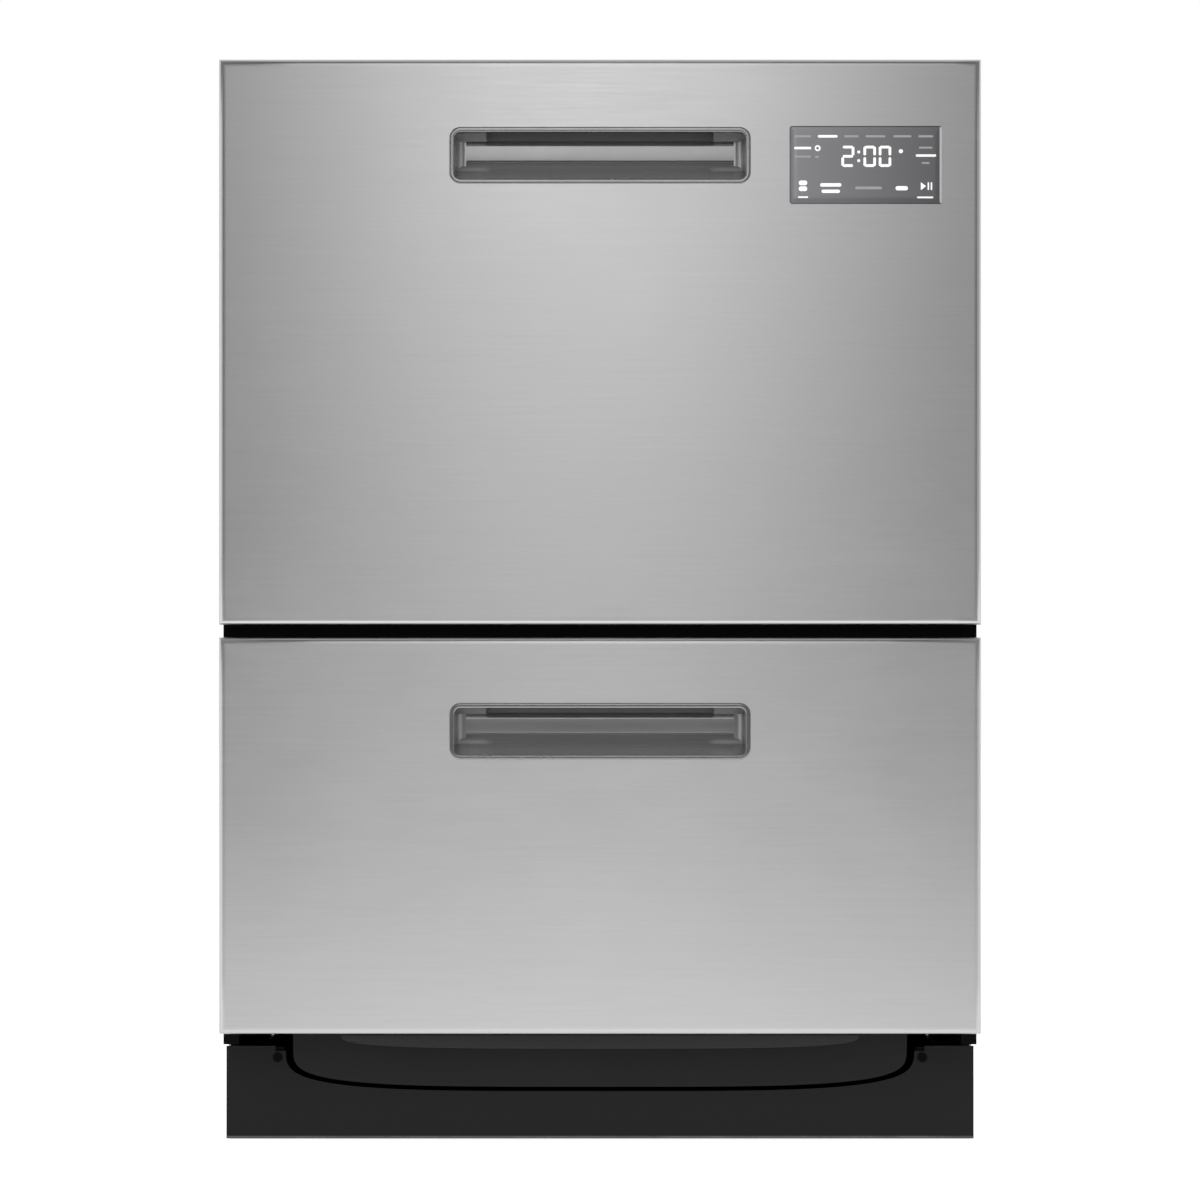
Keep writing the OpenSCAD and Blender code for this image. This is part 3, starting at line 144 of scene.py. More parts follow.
class DishwasherSizes(bpy.types.PropertyGroup):
    """Sizes of the details that are added to the frame."""

    edge_radius: length_prop("Panel edge radius", "Radius of the door panels' folded edges", 4.0, 1.0, 6.0)
    skin: length_prop("Skin thickness", "Thickness of the door panels' stainless sheet", 1.2, 0.6, 1.5)
    rim_proud: length_prop("Rim height", "How far a handle's rim stands in front of its panel", 0.8, 0.3, 1.2)
    frame_wire: length_prop("Frame wire radius", "Radius of a rack's frame wire", 2.2, 1.6, 2.4)
    grid_wire: length_prop("Grid wire radius", "Radius of a rack's grid wires and tines", 1.6, 1.2, 1.8)
    rack_corner: length_prop("Rack corner radius", "Radius of a rack's round corners", 26.0, 8.0, 34.0)
    cove: length_prop("Tub cove radius", "Radius between a tub's floor and its walls", 20.0, 6.0, 28.0)
    rib_pitch: length_prop("Hose rib pitch", "Distance from one rib of a link hose to the next", 5.0, 3.0, 9.0)
    wire_sides: IntProperty(
        name="Wire sides", description="Sides of each round wire", default=10, min=6, max=16
    )


class DishwasherColours(bpy.types.PropertyGroup):
    """Base colours of the finishes, linear."""

    stainless: colour_prop("Stainless", "Brushed stainless door panels", (0.60, 0.60, 0.605))
    handle: colour_prop("Handle", "Satin metal of the handle inserts", (0.33, 0.33, 0.335))
    glass: colour_prop("Display glass", "Grey glass of the display window", (0.10, 0.10, 0.105))
    lit: colour_prop("Lit marks", "Lit digits, bars and icons", (0.82, 0.82, 0.82))
    unlit: colour_prop("Dim marks", "Dim bars and icons", (0.34, 0.34, 0.345))
    black: colour_prop("Black moulding", "Black mouldings round the bays", (0.0045, 0.0045, 0.0047))
    kick: colour_prop("Toe kick", "Dark moulding of the plinth", (0.0092, 0.0092, 0.0095))
    zinc: colour_prop("Zinc coat", "Galvanised sheet of the cabinet", (0.50, 0.51, 0.52))
    tub: colour_prop("Tub", "Grey moulded tubs", (0.50, 0.52, 0.53))
    nylon: colour_prop("Rack coat", "Nylon coat of the wire racks", (0.62, 0.64, 0.65))


class DishwasherStage(bpy.types.PropertyGroup):
    """Light and camera."""

    distance: metres_prop("Camera distance", "From the door panels' face to the camera", 3.5, 1.0, 12.0)
    height: metres_prop("Camera height", "Height of the camera above the floor", 0.428, 0.0, 3.0)
    width_seen: metres_prop("Width seen", "Width that fills the image at the panels' face", 0.9406, 0.3, 4.0)
    fill: FloatProperty(name="Fill", description="Strength of the even light", default=0.62, min=0.0, max=2.0)
    key: FloatProperty(
        name="Key light", description="Power of the large soft light in front", default=46.0,
        min=0.0, max=400.0, unit="POWER",
    )
    wall: light_prop("Wall", "Grey of the studio wall that metal mirrors", 0.13)
    strip: light_prop("Strip", "Extra brightness of the wall's middle", 2.42)
    flag: light_prop("Flag", "Grey of the plane on the right that metal mirrors", 0.45)
    side: light_prop("Side", "Brightness of the plane on the left that metal mirrors", 1.05)
    ceiling: light_prop("Ceiling", "Grey of the ceiling that metal mirrors", 0.12)
    pool: light_prop("Floor pool", "Brightness of the floor near the doors, in metal", 1.46)


# ---------- surfaces ----------


def grid_quads(rows, columns, wrap_rows, wrap_columns):
    """Index quads between neighbouring points of a grid of rows by columns."""
    i = np.arange(rows if wrap_rows else rows - 1)
    j = np.arange(columns if wrap_columns else columns - 1)
    a, b = (m.ravel() for m in np.meshgrid(i, j, indexing="ij"))
    a1, b1 = (a + 1) % rows, (b + 1) % columns
    return np.stack([a * columns + b, a1 * columns + b, a1 * columns + b1, a * columns + b1], axis=1)


def patch(points, wrap_rows=False, wrap_columns=False):
    """A grid of points as (points, quads), ready to be joined with others."""
    rows, columns, _ = points.shape
    return points.reshape(-1, 3), grid_quads(rows, columns, wrap_rows, wrap_columns)


def make_piece(name, patches, material, body, stands_for=(), recalc=True, sharp=35.0):
    """Joins patches into one mesh, merges the points they share and shades it smooth but for sharp edges."""
    starts = np.cumsum([0] + [len(p) for p, _ in patches])
    points = np.concatenate([p for p, _ in patches]) * MM
    quads = np.concatenate([q + start for (_, q), start in zip(patches, starts)])
    mesh = bpy.data.meshes.new(name)
    mesh.vertices.add(len(points))
    mesh.vertices.foreach_set("co", points.astype(np.float32).ravel())
    mesh.loops.add(quads.size)
    mesh.loops.foreach_set("vertex_index", quads.astype(np.int32).ravel())
    mesh.polygons.add(len(quads))
    mesh.polygons.foreach_set("loop_start", np.arange(0, quads.size, 4, dtype=np.int32))
    mesh.update(calc_edges=True)
    work = bmesh.new()
    work.from_mesh(mesh)
    bmesh.ops.remove_doubles(work, verts=work.verts, dist=2e-6)
    bmesh.ops.dissolve_degenerate(work, edges=work.edges, dist=1e-7)
    if recalc:
        bmesh.ops.recalc_face_normals(work, faces=work.faces)
    work.to_mesh(mesh)
    work.free()
    mesh.validate()
    mesh.polygons.foreach_set("use_smooth", np.ones(len(mesh.polygons), dtype=bool))
    mesh.set_sharp_from_angle(angle=math.radians(sharp))
    keep_open_edges_sharp(mesh)
    piece = bpy.data.objects.new(name, mesh)
    bpy.context.scene.collection.objects.link(piece)
    mesh.materials.append(material)
    if body:
        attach(piece, body)
    if stands_for:
        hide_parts(*stands_for)
    return piece


def keep_open_edges_sharp(mesh):
    """Marks the edges that only one face uses, so a wall grown from them doesn't bend the face's shading."""
    edge_of = np.empty(len(mesh.loops), dtype=np.int32)
    mesh.loops.foreach_get("edge_index", edge_of)
    once = np.bincount(edge_of, minlength=len(mesh.edges)) == 1
    sharp = np.zeros(len(mesh.edges), dtype=bool)
    mesh.edges.foreach_get("use_edge_sharp", sharp)
    mesh.edges.foreach_set("use_edge_sharp", sharp | once)


def solidify(piece, thickness, offset=-1.0):
    """Gives an open surface a wall."""
    wall = piece.modifiers.new("Wall", "SOLIDIFY")
    wall.thickness = thickness
    wall.offset = offset
    wall.use_even_offset = True


def outline(cx, cy, w, h, r, corner=8, side=8):
    """Closed outline of a rectangle with round corners: four quarter circles of the given radius, joined
    by straight sides with evenly spaced points. Every outline has as many points, so two of them loft."""
    w, h, r = (np.broadcast_to(np.asarray(v, float), np.broadcast(w, h, r).shape) for v in (w, h, r))
    turn = np.linspace(0, np.pi / 2, corner + 1)
    share = np.arange(1, side) / side
    found = []
    for k, (sx, sy) in enumerate(((1, 1), (-1, 1), (-1, -1), (1, -1))):
        a = turn + k * np.pi / 2
        px = cx + sx * (w[..., None] / 2 - r[..., None]) + r[..., None] * np.cos(a)
        py = cy + sy * (h[..., None] / 2 - r[..., None]) + r[..., None] * np.sin(a)
        found.append(np.stack([px, py], -1))
    legs = []
    for k in range(4):
        start, end = found[k][..., -1:, :], found[(k + 1) % 4][..., :1, :]
        legs += [found[k], start + (end - start) * share[:, None]]
    return np.concatenate(legs, axis=-2)


def front(points_xz, y):
    """Points of outlines in XZ, each at its own Y."""
    y = np.broadcast_to(np.asarray(y, float)[..., None], points_xz.shape[:-1])
    return np.stack([points_xz[..., 0], y, points_xz[..., 1]], -1)


def level(points_xy, z):
    """Points of outlines in XY, each at its own Z."""
    z = np.broadcast_to(np.asarray(z, float)[..., None], points_xy.shape[:-1])
    return np.concatenate([points_xy, z[..., None]], -1)


def closed_loft(rings):
    """A skin over a stack of rings, closed at both ends by drawing the end rings in to their centres."""
    first = np.broadcast_to(rings[:1].mean(axis=1, keepdims=True), rings[:1].shape)
    last = np.broadcast_to(rings[-1:].mean(axis=1, keepdims=True), rings[-1:].shape)
    return patch(np.concatenate([first, rings, last]), wrap_columns=True)


def turned(profile, centre, axis="z", sides=24, lobes=0, lobe_depth=0.0):
    """A profile of (radius, height) pairs carried round an axis through the centre. With lobes, each
    radius under half of the largest swells by a cosine of the angle, as in a screw's socket."""
    radius, height = np.array(profile, float).T
    a = np.linspace(0, 2 * np.pi, sides, endpoint=False)
    r = radius[:, None] * np.ones(sides)
    if lobes:
        r = np.where(radius[:, None] < 0.5 * radius.max(), r * (1 + lobe_depth * np.cos(lobes * a)), r)
    u, v, w = r * np.cos(a), r * np.sin(a), height[:, None] * np.ones(sides)
    order = {"z": (u, v, w), "y": (u, -w, v), "+y": (u, w, v), "x": (w, u, v), "-x": (-w, u, v)}[axis]
    return closed_loft(np.stack(order, -1) + np.array(centre, float))


def tube(path, radius, sides=10, across=(0.0, 1.0, 0.0)):
    """A circle carried along a path, square to the path's direction; `across` is a direction that the
    path never takes. The radius may change along the path. Both ends are closed by round caps."""
    path = np.asarray(path, float)
    radius = np.broadcast_to(np.asarray(radius, float), (len(path),))
    ahead = np.gradient(path, axis=0)
    ahead /= np.linalg.norm(ahead, axis=1, keepdims=True)
    right = np.cross(ahead, np.array(across, float))
    right /= np.linalg.norm(right, axis=1, keepdims=True)
    up = np.cross(right, ahead)
    cap = np.array([[0.92, 0.35], [0.7, 0.72], [0.35, 0.95]])
    path = np.concatenate([path[:1] - ahead[:1] * radius[0] * cap[::-1, 1:], path,
                           path[-1:] + ahead[-1:] * radius[-1] * cap[:, 1:]])
    radius = np.concatenate([radius[0] * cap[::-1, 0], radius, radius[-1] * cap[:, 0]])
    right = np.concatenate([right[:1]] * 3 + [right] + [right[-1:]] * 3)
    up = np.concatenate([up[:1]] * 3 + [up] + [up[-1:]] * 3)
    a = np.linspace(0, 2 * np.pi, sides, endpoint=False)[None, :, None]
    rings = path[:, None] + radius[:, None, None] * (np.cos(a) * right[:, None] + np.sin(a) * up[:, None])
    return closed_loft(rings)


def hoop(path, radius, sides=10, across=(0.0, 0.0, 1.0)):
    """A circle carried round a closed flat path, square to it; `across` is the path's plane's normal."""
    path = np.asarray(path, float)
    ahead = np.roll(path, -1, axis=0) - np.roll(path, 1, axis=0)
    ahead /= np.linalg.norm(ahead, axis=1, keepdims=True)
    right = np.cross(ahead, np.array(across, float))
    up = np.broadcast_to(np.array(across, float), right.shape)
    a = np.linspace(0, 2 * np.pi, sides, endpoint=False)[None, :, None]
    rings = path[:, None] + radius * (np.cos(a) * right[:, None] + np.sin(a) * up[:, None])
    return patch(rings, wrap_rows=True, wrap_columns=True)


def bent(points, radius, steps=6):
    """A path through corner points in which each inner corner is a quarter-like arc: a quadratic curve
    from one leg to the next, tangent to both at the given distance from the corner."""
    points = np.asarray(points, float)
    radius = np.broadcast_to(radius, len(points) - 2)[:, None]
    inner = points[1:-1]
    before = inner - points[:-2]
    after = points[2:] - inner
    before /= np.linalg.norm(before, axis=1, keepdims=True)
    after /= np.linalg.norm(after, axis=1, keepdims=True)
    t = np.linspace(0, 1, steps + 1)[None, :, None]
    start, end = (inner - before * radius)[:, None], (inner + after * radius)[:, None]
    curve = (1 - t) ** 2 * start + 2 * t * (1 - t) * inner[:, None] + t**2 * end
    return np.concatenate([points[:1], curve.reshape(-1, points.shape[1]), points[-1:]])


def smooth_path(points, step):
    """A curve through points: uniform Catmull-Rom cubics, resampled at even steps of arc length."""
    p = np.asarray(points, float)
    p = np.concatenate([2 * p[:1] - p[1:2], p, 2 * p[-1:] - p[-2:-1]])
    t = np.linspace(0, 1, 24, endpoint=False)[None, :, None]
    a, b, c, d = p[:-3, None], p[1:-2, None], p[2:-1, None], p[3:, None]
    fine = 0.5 * (2 * b + (c - a) * t + (2 * a - 5 * b + 4 * c - d) * t**2 + (3 * b - a - 3 * c + d) * t**3)
    fine = np.concatenate([fine.reshape(-1, 3), p[-2:-1]])
    along = np.concatenate([[0], np.cumsum(np.linalg.norm(np.diff(fine, axis=0), axis=1))])
    at = np.linspace(0, along[-1], int(along[-1] / step) + 1)
    return np.stack([np.interp(at, along, fine[:, k]) for k in range(3)], -1), at


# ---------- finishes ----------


class Recipe:
    """Builds one material's nodes in a few words."""

    def __init__(self, name, bare=False):
        """A new material, with the usual shader or, when bare, with nothing but its output."""
        self.material = bpy.data.materials.new(name)
        self.material.use_nodes = True
        self.tree = self.material.node_tree
        if bare:
            self.tree.nodes.clear()
            self.output = self.tree.nodes.new("ShaderNodeOutputMaterial")
        else:
            self.shader = self.tree.nodes["Principled BSDF"]
        self.object_space = self.tree.nodes.new("ShaderNodeTexCoord").outputs["Object"]

    def node(self, kind, **values):
        """A new node; each value goes to its input of that name, or else to its setting."""
        made = self.tree.nodes.new("ShaderNode" + kind)
        for key, value in values.items():
            if key in made.inputs:
                made.inputs[key].default_value = value
            else:
                setattr(made, key, value)
        return made

    def link(self, start, end):
        """Joins an output to an input."""
        self.tree.links.new(start, end)

    def put(self, value, socket):
        """Gives an input a number or a colour, or joins another node's output to it."""
        if isinstance(value, bpy.types.NodeSocket):
            self.link(value, socket)
        else:
            socket.default_value = value if isinstance(value, (int, float)) else (*value, 1)

    def axes(self):
        """The object coordinates as three outputs, X, Y and Z."""
        parts = self.node("SeparateXYZ")
        self.link(self.object_space, parts.inputs[0])
        return parts.outputs

    def spread(self, scale):
        """Object coordinates, stretched: the pattern repeats about that often per metre."""
        mapping = self.node("Mapping")
        mapping.inputs["Scale"].default_value = scale if isinstance(scale, tuple) else (scale,) * 3
        self.link(self.object_space, mapping.inputs["Vector"])
        return mapping.outputs["Vector"]

    def noise(self, scale, detail=3.0, roughness=0.55, distortion=0.0):
        """Fractal noise, about 0.25 to 0.75."""
        made = self.node("TexNoise", Scale=1.0, Detail=detail, Roughness=roughness, Distortion=distortion)
        self.link(self.spread(scale), made.inputs["Vector"])
        return made.outputs["Fac"]

    def cells(self, scale):
        """Cells round scattered points, with the distance to the nearest point and a colour for each cell."""
        made = self.node("TexVoronoi", Scale=1.0)
        self.link(self.spread(scale), made.inputs["Vector"])
        return made.outputs

    def ranged(self, value, low, high, start=0.25, end=0.75):
        """Runs evenly from low to high while the value runs from start to end."""
        made = self.node("MapRange")
        for key, number in (("From Min", start), ("From Max", end), ("To Min", low), ("To Max", high)):
            made.inputs[key].default_value = number
        self.link(value, made.inputs["Value"])
        return made.outputs["Result"]

    def fade(self, value, start, end, low, high):
        """Runs from low to high in a smooth step while the value runs from start to end."""
        result = self.ranged(value, low, high, start, end)
        result.node.interpolation_type = "SMOOTHSTEP"
        return result

    def math(self, operation, a, b):
        """One sum of two values."""
        made = self.node("Math", operation=operation)
        for k, value in enumerate((a, b)):
            self.put(value, made.inputs[k])
        return made.outputs[0]

    def mixed(self, *parts):
        """The sum of patterns, each given with its share."""
        total = self.math("MULTIPLY", *parts[0])
        for part in parts[1:]:
            total = self.math("ADD", total, self.math("MULTIPLY", *part))
        return total

    def tint(self, low, high, factor, blend_type="MIX"):
        """A colour that runs from low to high with the factor."""
        made = self.node("Mix", data_type="RGBA", blend_type=blend_type)
        for k, value in ((6, low), (7, high), (0, factor)):
            self.put(value, made.inputs[k])
        return made.outputs[2]

    def paint(self, colour, pattern, start, end, change):
        """The base colour, darker and lighter by a share as the pattern runs from start to end."""
        factor = self.ranged(pattern, 0.0, 1.0, start, end)
        low = [max(c * (1 - change), 0) for c in colour]
        high = [min(c * (1 + change), 1) for c in colour]
        self.link(self.tint(low, high, factor), self.shader.inputs["Base Color"])

    def rough(self, pattern, low, high, start=0.3, end=0.7):
        """The roughness, from low to high as the pattern runs from start to end."""
        self.link(self.ranged(pattern, low, high, start, end), self.shader.inputs["Roughness"])

    def bump(self, height, distance, strength=1.0, before=None):
        """Relief from a height pattern, on top of an earlier one if there is one."""
        made = self.node("Bump", Strength=strength, Distance=distance)
        self.link(height, made.inputs["Height"])
        if before:
            self.link(before, made.inputs["Normal"])
        self.link(made.outputs["Normal"], self.shader.inputs["Normal"])
        return made.outputs["Normal"]

    def set(self, **values):
        """Sets inputs of the shader; a name's underscores stand for spaces."""
        for key, value in values.items():
            self.shader.inputs[key.replace("_", " ")].default_value = value
        return self

    def glow(self, strength):
        """White light given off at a strength."""
        made = self.node("Emission")
        self.put(strength, made.inputs["Strength"])
        return made.outputs[0]

    def either(self, factor, first, second):
        """The first shader where the factor is 0, and the second where it is 1."""
        made = self.node("MixShader")
        for socket, value in zip(made.inputs, (factor, first, second)):
            self.link(value, socket)
        return made.outputs[0]

    def close(self, surface):
        """Joins a shader to a bare material's output."""
        self.link(surface, self.output.inputs["Surface"])
        return self.material


def brushed_steel(name, colour, roughness, anisotropy, lines=1150.0, run=26.0, change=0.06):
    """Brushed sheet: fine lines along X, told by noise drawn out along X, in colour, gloss and height. The
    brushing spreads each reflection upright, and a broad faint mottle keeps large faces from being even."""
    r = Recipe(name)
    fine = r.noise((run, run, lines), detail=4.0, roughness=0.7)
    wide = r.noise((run / 4, run / 4, lines / 3), detail=3.0)
    mottle = r.noise((7.0, 7.0, 9.0), detail=5.0, roughness=0.65)
    speck = r.noise((520.0, 520.0, 900.0), detail=2.0)
    grain = r.mixed((fine, 0.5), (wide, 0.28), (speck, 0.22))
    r.paint(colour, r.mixed((grain, 0.8), (mottle, 0.2)), 0.3, 0.7, change)
    gloss = r.math("ADD", fine, r.math("MULTIPLY", mottle, 0.5))
    r.rough(gloss, roughness - 0.03, roughness + 0.04, 0.4, 1.1)
    r.bump(grain, 0.00002, 0.35)
    r.set(Metallic=1.0, Anisotropic=anisotropy, Anisotropic_Rotation=0.25)
    tangent = r.node("Tangent", direction_type="RADIAL", axis="Z")
    r.link(tangent.outputs["Tangent"], r.shader.inputs["Tangent"])
    return r.material


def satin_metal(name, colour, roughness, change=0.08, metallic=1.0, wear=1.0):
    """Cast or drawn metal with a satin face: fine noise in gloss and height, and faint dark marks of
    handling. Wear is how strong both are."""
    r = Recipe(name)
    fine = r.noise(220.0, detail=4.0, roughness=0.6)
    marks = r.noise((16.0, 16.0, 30.0), detail=6.0, roughness=0.7)
    r.paint(colour, r.mixed((fine, 0.5), (marks, 0.5)), 0.35, 0.65, change * wear)
    r.rough(marks, roughness - 0.05 * wear, roughness + 0.08 * wear)
    r.bump(fine, 0.00004, 0.3 * wear)
    return r.set(Metallic=metallic).material


def zinc_sheet(name, colour, roughness):
    """Galvanised sheet: crystal cells a few millimetres across that differ in grey and gloss, soft white bloom
    in patches, and fine rolling lines."""
    r = Recipe(name)
    cells = r.cells(230.0)
    grey = r.node("SeparateColor")
    r.link(cells["Color"], grey.inputs["Color"])
    bloom = r.noise(9.0, detail=5.0, roughness=0.7)
    rolling = r.noise((900.0, 900.0, 14.0), detail=2.0)
    r.paint(colour, r.mixed((grey.outputs[0], 0.45), (bloom, 0.55)), 0.2, 0.8, 0.09)
    r.rough(r.mixed((grey.outputs[1], 0.5), (bloom, 0.5)), roughness - 0.08, roughness + 0.12, 0.2, 0.8)
    first = r.bump(cells["Distance"], 0.00006, 0.25)
    r.bump(rolling, 0.00003, 0.2, before=first)
    return r.set(Metallic=0.72).material


def moulded(name, colour, roughness, grain=900.0, depth=0.00006, change=0.12, **more):
    """Moulded plastic: a fine spark texture in height, slow changes of gloss where the melt flowed, and a
    trace of dust that lightens the colour."""
    r = Recipe(name)
    spark = r.cells(grain)["Distance"]
    fine = r.noise(grain * 0.6, detail=3.0)
    melt = r.noise((6.0, 6.0, 9.6), detail=5.0, roughness=0.6, distortion=0.4)
    r.paint(colour, r.mixed((melt, 0.7), (fine, 0.3)), 0.3, 0.7, change)
    r.rough(melt, roughness - 0.06, roughness + 0.07)
    first = r.bump(spark, depth, 0.35)
    r.bump(fine, depth * 0.7, 0.3, before=first)
    return r.set(**more).material


def rubber(name, colour, roughness):
    """Rubber: matt, with a dusty bloom in patches and a slightly pebbled face."""
    r = Recipe(name)
    bloom = r.noise(22.0, detail=6.0, roughness=0.7)
    pebble = r.noise(700.0, detail=2.0)
    r.paint(colour, bloom, 0.35, 0.65, 0.3)
    r.rough(bloom, roughness - 0.08, roughness + 0.1)
    r.bump(pebble, 0.00008, 0.4)
    return r.set(Specular_IOR_Level=0.35).material


def drawn_steel(name, colour, roughness):
    """Cold-drawn strip: long lines along the runner, with faint oil marks."""
    r = Recipe(name)
    lines = r.noise((1100.0, 9.0, 1100.0), detail=3.0)
    oil = r.noise((12.0, 5.0, 14.0), detail=5.0, roughness=0.65)
    r.paint(colour, r.mixed((lines, 0.6), (oil, 0.4)), 0.35, 0.65, 0.1)
    r.rough(oil, roughness - 0.06, roughness + 0.12)
    r.bump(lines, 0.00002, 0.3)
    return r.set(Metallic=1.0).material


HOLE_PITCH = 0.0042  # metres along X and Y from one wave's crest to the next


def perforated_steel(name, colour, roughness):
    """Stainless sheet with rows of small round holes: a hole is dark where the product of two sine waves, one
    along X and one along Y, is near its highest and lowest, so that the rows are staggered."""
    r = Recipe(name)
    place = r.axes()
    waves = [r.math("SINE", r.math("MULTIPLY", place[axis], 2 * math.pi / HOLE_PITCH), 0.0) for axis in "XY"]
    holes = r.ranged(r.math("ABSOLUTE", r.math("MULTIPLY", *waves), 0.0), 1.0, 0.0, 0.42, 0.62)
    marks = r.noise(40.0, detail=5.0, roughness=0.6)
    metal = r.tint([c * 0.9 for c in colour], colour, r.ranged(marks, 0.0, 1.0, 0.3, 0.7))
    r.link(r.tint((0.012, 0.012, 0.013), metal, holes), r.shader.inputs["Base Color"])
    r.rough(marks, roughness - 0.05, roughness + 0.07)
    r.bump(holes, 0.0004, 0.6)
    return r.set(Metallic=0.9).material


def window_glass(name, colour):
    """Tinted glass over the display: a printed grey layer with a fine dot screen, under a clear coat with a few
    wiping marks in its gloss. Its colour is painted lighter at the left end and darker at the right: painted light."""
    r = Recipe(name)
    dots = r.cells(2400.0)["Distance"]
    haze = r.noise((14.0, 14.0, 20.0), detail=5.0, roughness=0.7)
    # painted light: the glass's colour runs from lighter at its left end to darker at its right
    along = r.ranged(r.axes()["X"], 0.0, 1.0, GLASS[0][0] * MM, GLASS[1][0] * MM)
    base = r.tint([v * 1.75 for v in colour], [v * 0.85 for v in colour], along)
    spot = r.ranged(r.mixed((dots, 0.3), (haze, 0.7)), 0.0, 1.0, 0.25, 0.65)
    shade = r.tint(base, r.tint((0.88, 0.88, 0.88), (1.0, 1.0, 1.0), spot), 1.0, "MULTIPLY")
    r.link(shade, r.shader.inputs["Base Color"])
    r.rough(haze, 0.16, 0.3)
    r.bump(haze, 0.00002, 0.1)
    return r.set(Coat_Weight=0.6, Coat_Roughness=0.12, Specular_IOR_Level=0.5).material


def lit_mark(name, colour, strength):
    """A printed mark that is lit from behind: slightly uneven light, as through a diffuser."""
    r = Recipe(name)
    uneven = r.noise(260.0, detail=2.0)
    shade = r.tint([c * 0.9 for c in colour], colour, r.ranged(uneven, 0.0, 1.0, 0.3, 0.7))
    for name in ("Base Color", "Emission Color"):
        r.link(shade, r.shader.inputs[name])
    r.rough(uneven, 0.4, 0.55, 0.25, 0.75)
    return r.set(Emission_Strength=strength).material


FINISHES = {}


def make_finishes():
    """One material for each of the record's slots, and a few for single details."""
    c = bpy.context.scene.dishwasher_colours

    def add(maker, name, colour, *values, **more):
        """Makes one material and keeps it by its name."""
        FINISHES[name] = maker(name, tuple(colour), *values, **more)

    add(brushed_steel, "stainless", c.stainless, 0.30, 0.72)
    add(satin_metal, "handle_metal", c.handle, 0.25, wear=0.5)
    add(satin_metal, "handle_inside", (0.37, 0.37, 0.375), 0.24, metallic=0.7, wear=0.3)
    # painted shade: a dark grey, darker than the insert it belongs to, for the shade deep in the hollow behind the
    # grip slot
    add(satin_metal, "grip_hollow", (0.15, 0.15, 0.152), 0.5, metallic=0.3)
    add(zinc_sheet, "cabinet_steel", c.zinc, 0.46)
    add(moulded, "black_moulding", c.black, 0.5, change=0.25, Specular_IOR_Level=0.16)
    # painted shade: a darker, less glossy copy of the black moulding, for the surround and the base tray that sit in
    # the shade of the gaps
    add(moulded, "deep_black", (0.0014, 0.0014, 0.0015), 0.5, change=0.25, Specular_IOR_Level=0.07)
    add(rubber, "seal_grey", (0.11, 0.11, 0.112), 0.6)
    add(moulded, "lip_plastic", (0.022, 0.022, 0.0225), 0.5, change=0.2, Specular_IOR_Level=0.3)
    add(moulded, "kick_plastic", c.kick, 0.52, change=0.2, Specular_IOR_Level=0.22)
    add(window_glass, "display_glass", c.glass)
    add(moulded, "module_plastic", (0.02, 0.02, 0.022), 0.5, grain=600.0)
    add(moulded, "tub_plastic", c.tub, 0.32, grain=1300.0, depth=0.00003, change=0.06)
    add(moulded, "base_plastic", (0.0075, 0.0075, 0.0078), 0.5, grain=700.0, Specular_IOR_Level=0.28)
    add(drawn_steel, "steel_bright", (0.62, 0.62, 0.63), 0.24)
    add(perforated_steel, "filter_mesh", (0.60, 0.60, 0.61), 0.3)
    add(drawn_steel, "zinc", (0.52, 0.53, 0.55), 0.34)
    add(moulded, "spray_plastic", (0.22, 0.26, 0.29), 0.38, grain=1000.0, change=0.08)
    add(moulded, "rack_nylon", c.nylon, 0.34, grain=500.0, depth=0.00005, change=0.07, Coat_Weight=0.15)
    add(moulded, "basket_plastic", (0.20, 0.235, 0.26), 0.42, change=0.08)
    add(moulded, "dispenser_plastic", (0.66, 0.69, 0.70), 0.36, change=0.05)
    add(moulded, "flap_plastic", (0.46, 0.50, 0.53), 0.3, change=0.05)
    add(moulded, "lid_plastic", (0.42, 0.44, 0.46), 0.4, change=0.06)
    add(rubber, "seal_rubber", (0.035, 0.035, 0.036), 0.62)
    add(rubber, "hose_rubber", (0.05, 0.051, 0.053), 0.55)
    add(moulded, "white_plastic", (0.72, 0.71, 0.68), 0.4, change=0.05)
    add(satin_metal, "screw_black", (0.006, 0.006, 0.0065), 0.4)
    add(moulded, "foot_plastic", (0.03, 0.03, 0.032), 0.5, change=0.2)
    add(moulded, "board_box", (0.16, 0.17, 0.175), 0.48, change=0.1)
    # painted highlight: a pale grey for the plate along the window's right edge, standing for the light on the
    # glass's edge
    add(moulded, "window_edge", (0.42, 0.42, 0.425), 0.3, change=0.04)
    add(lit_mark, "lit", c.lit, 0.36)
    add(lit_mark, "unlit", c.unlit, 0.0)


def finish(name):
    """A material by its slot's name, made with the others at its first use."""
    if not FINISHES:
        make_finishes()
    return FINISHES[name]


# ---------- door panels ----------

REGION_SPLIT = 134.0  # X between the handle's part of the face and the display's
FLAT_BORDER = 2.0  # flat strip between those parts and the rolled edge
GLASS_GAP = 0.7
GLASS_HOLE_R = 2.1
LIP_HALF = 204.0
LIP_DROP = 11.2
LIP_POWER = 3.5


def face_region(x0, x1, z0, z1, hole):
    """The flat face between a rectangle and a round-cornered hole in it: the hole's outline runs out to the
    rectangle's in a straight line. Returns the patch's grid and the rectangle's points."""
    cx, cz = (x0 + x1) / 2, (z0 + z1) / 2
    outer = outline(cx, cz, x1 - x0, z1 - z0, 0.0)
    inner = outline(*hole)
    share = np.array([0.0, 0.25, 1.0])[:, None, None]
    return inner + (outer - inner) * share, outer


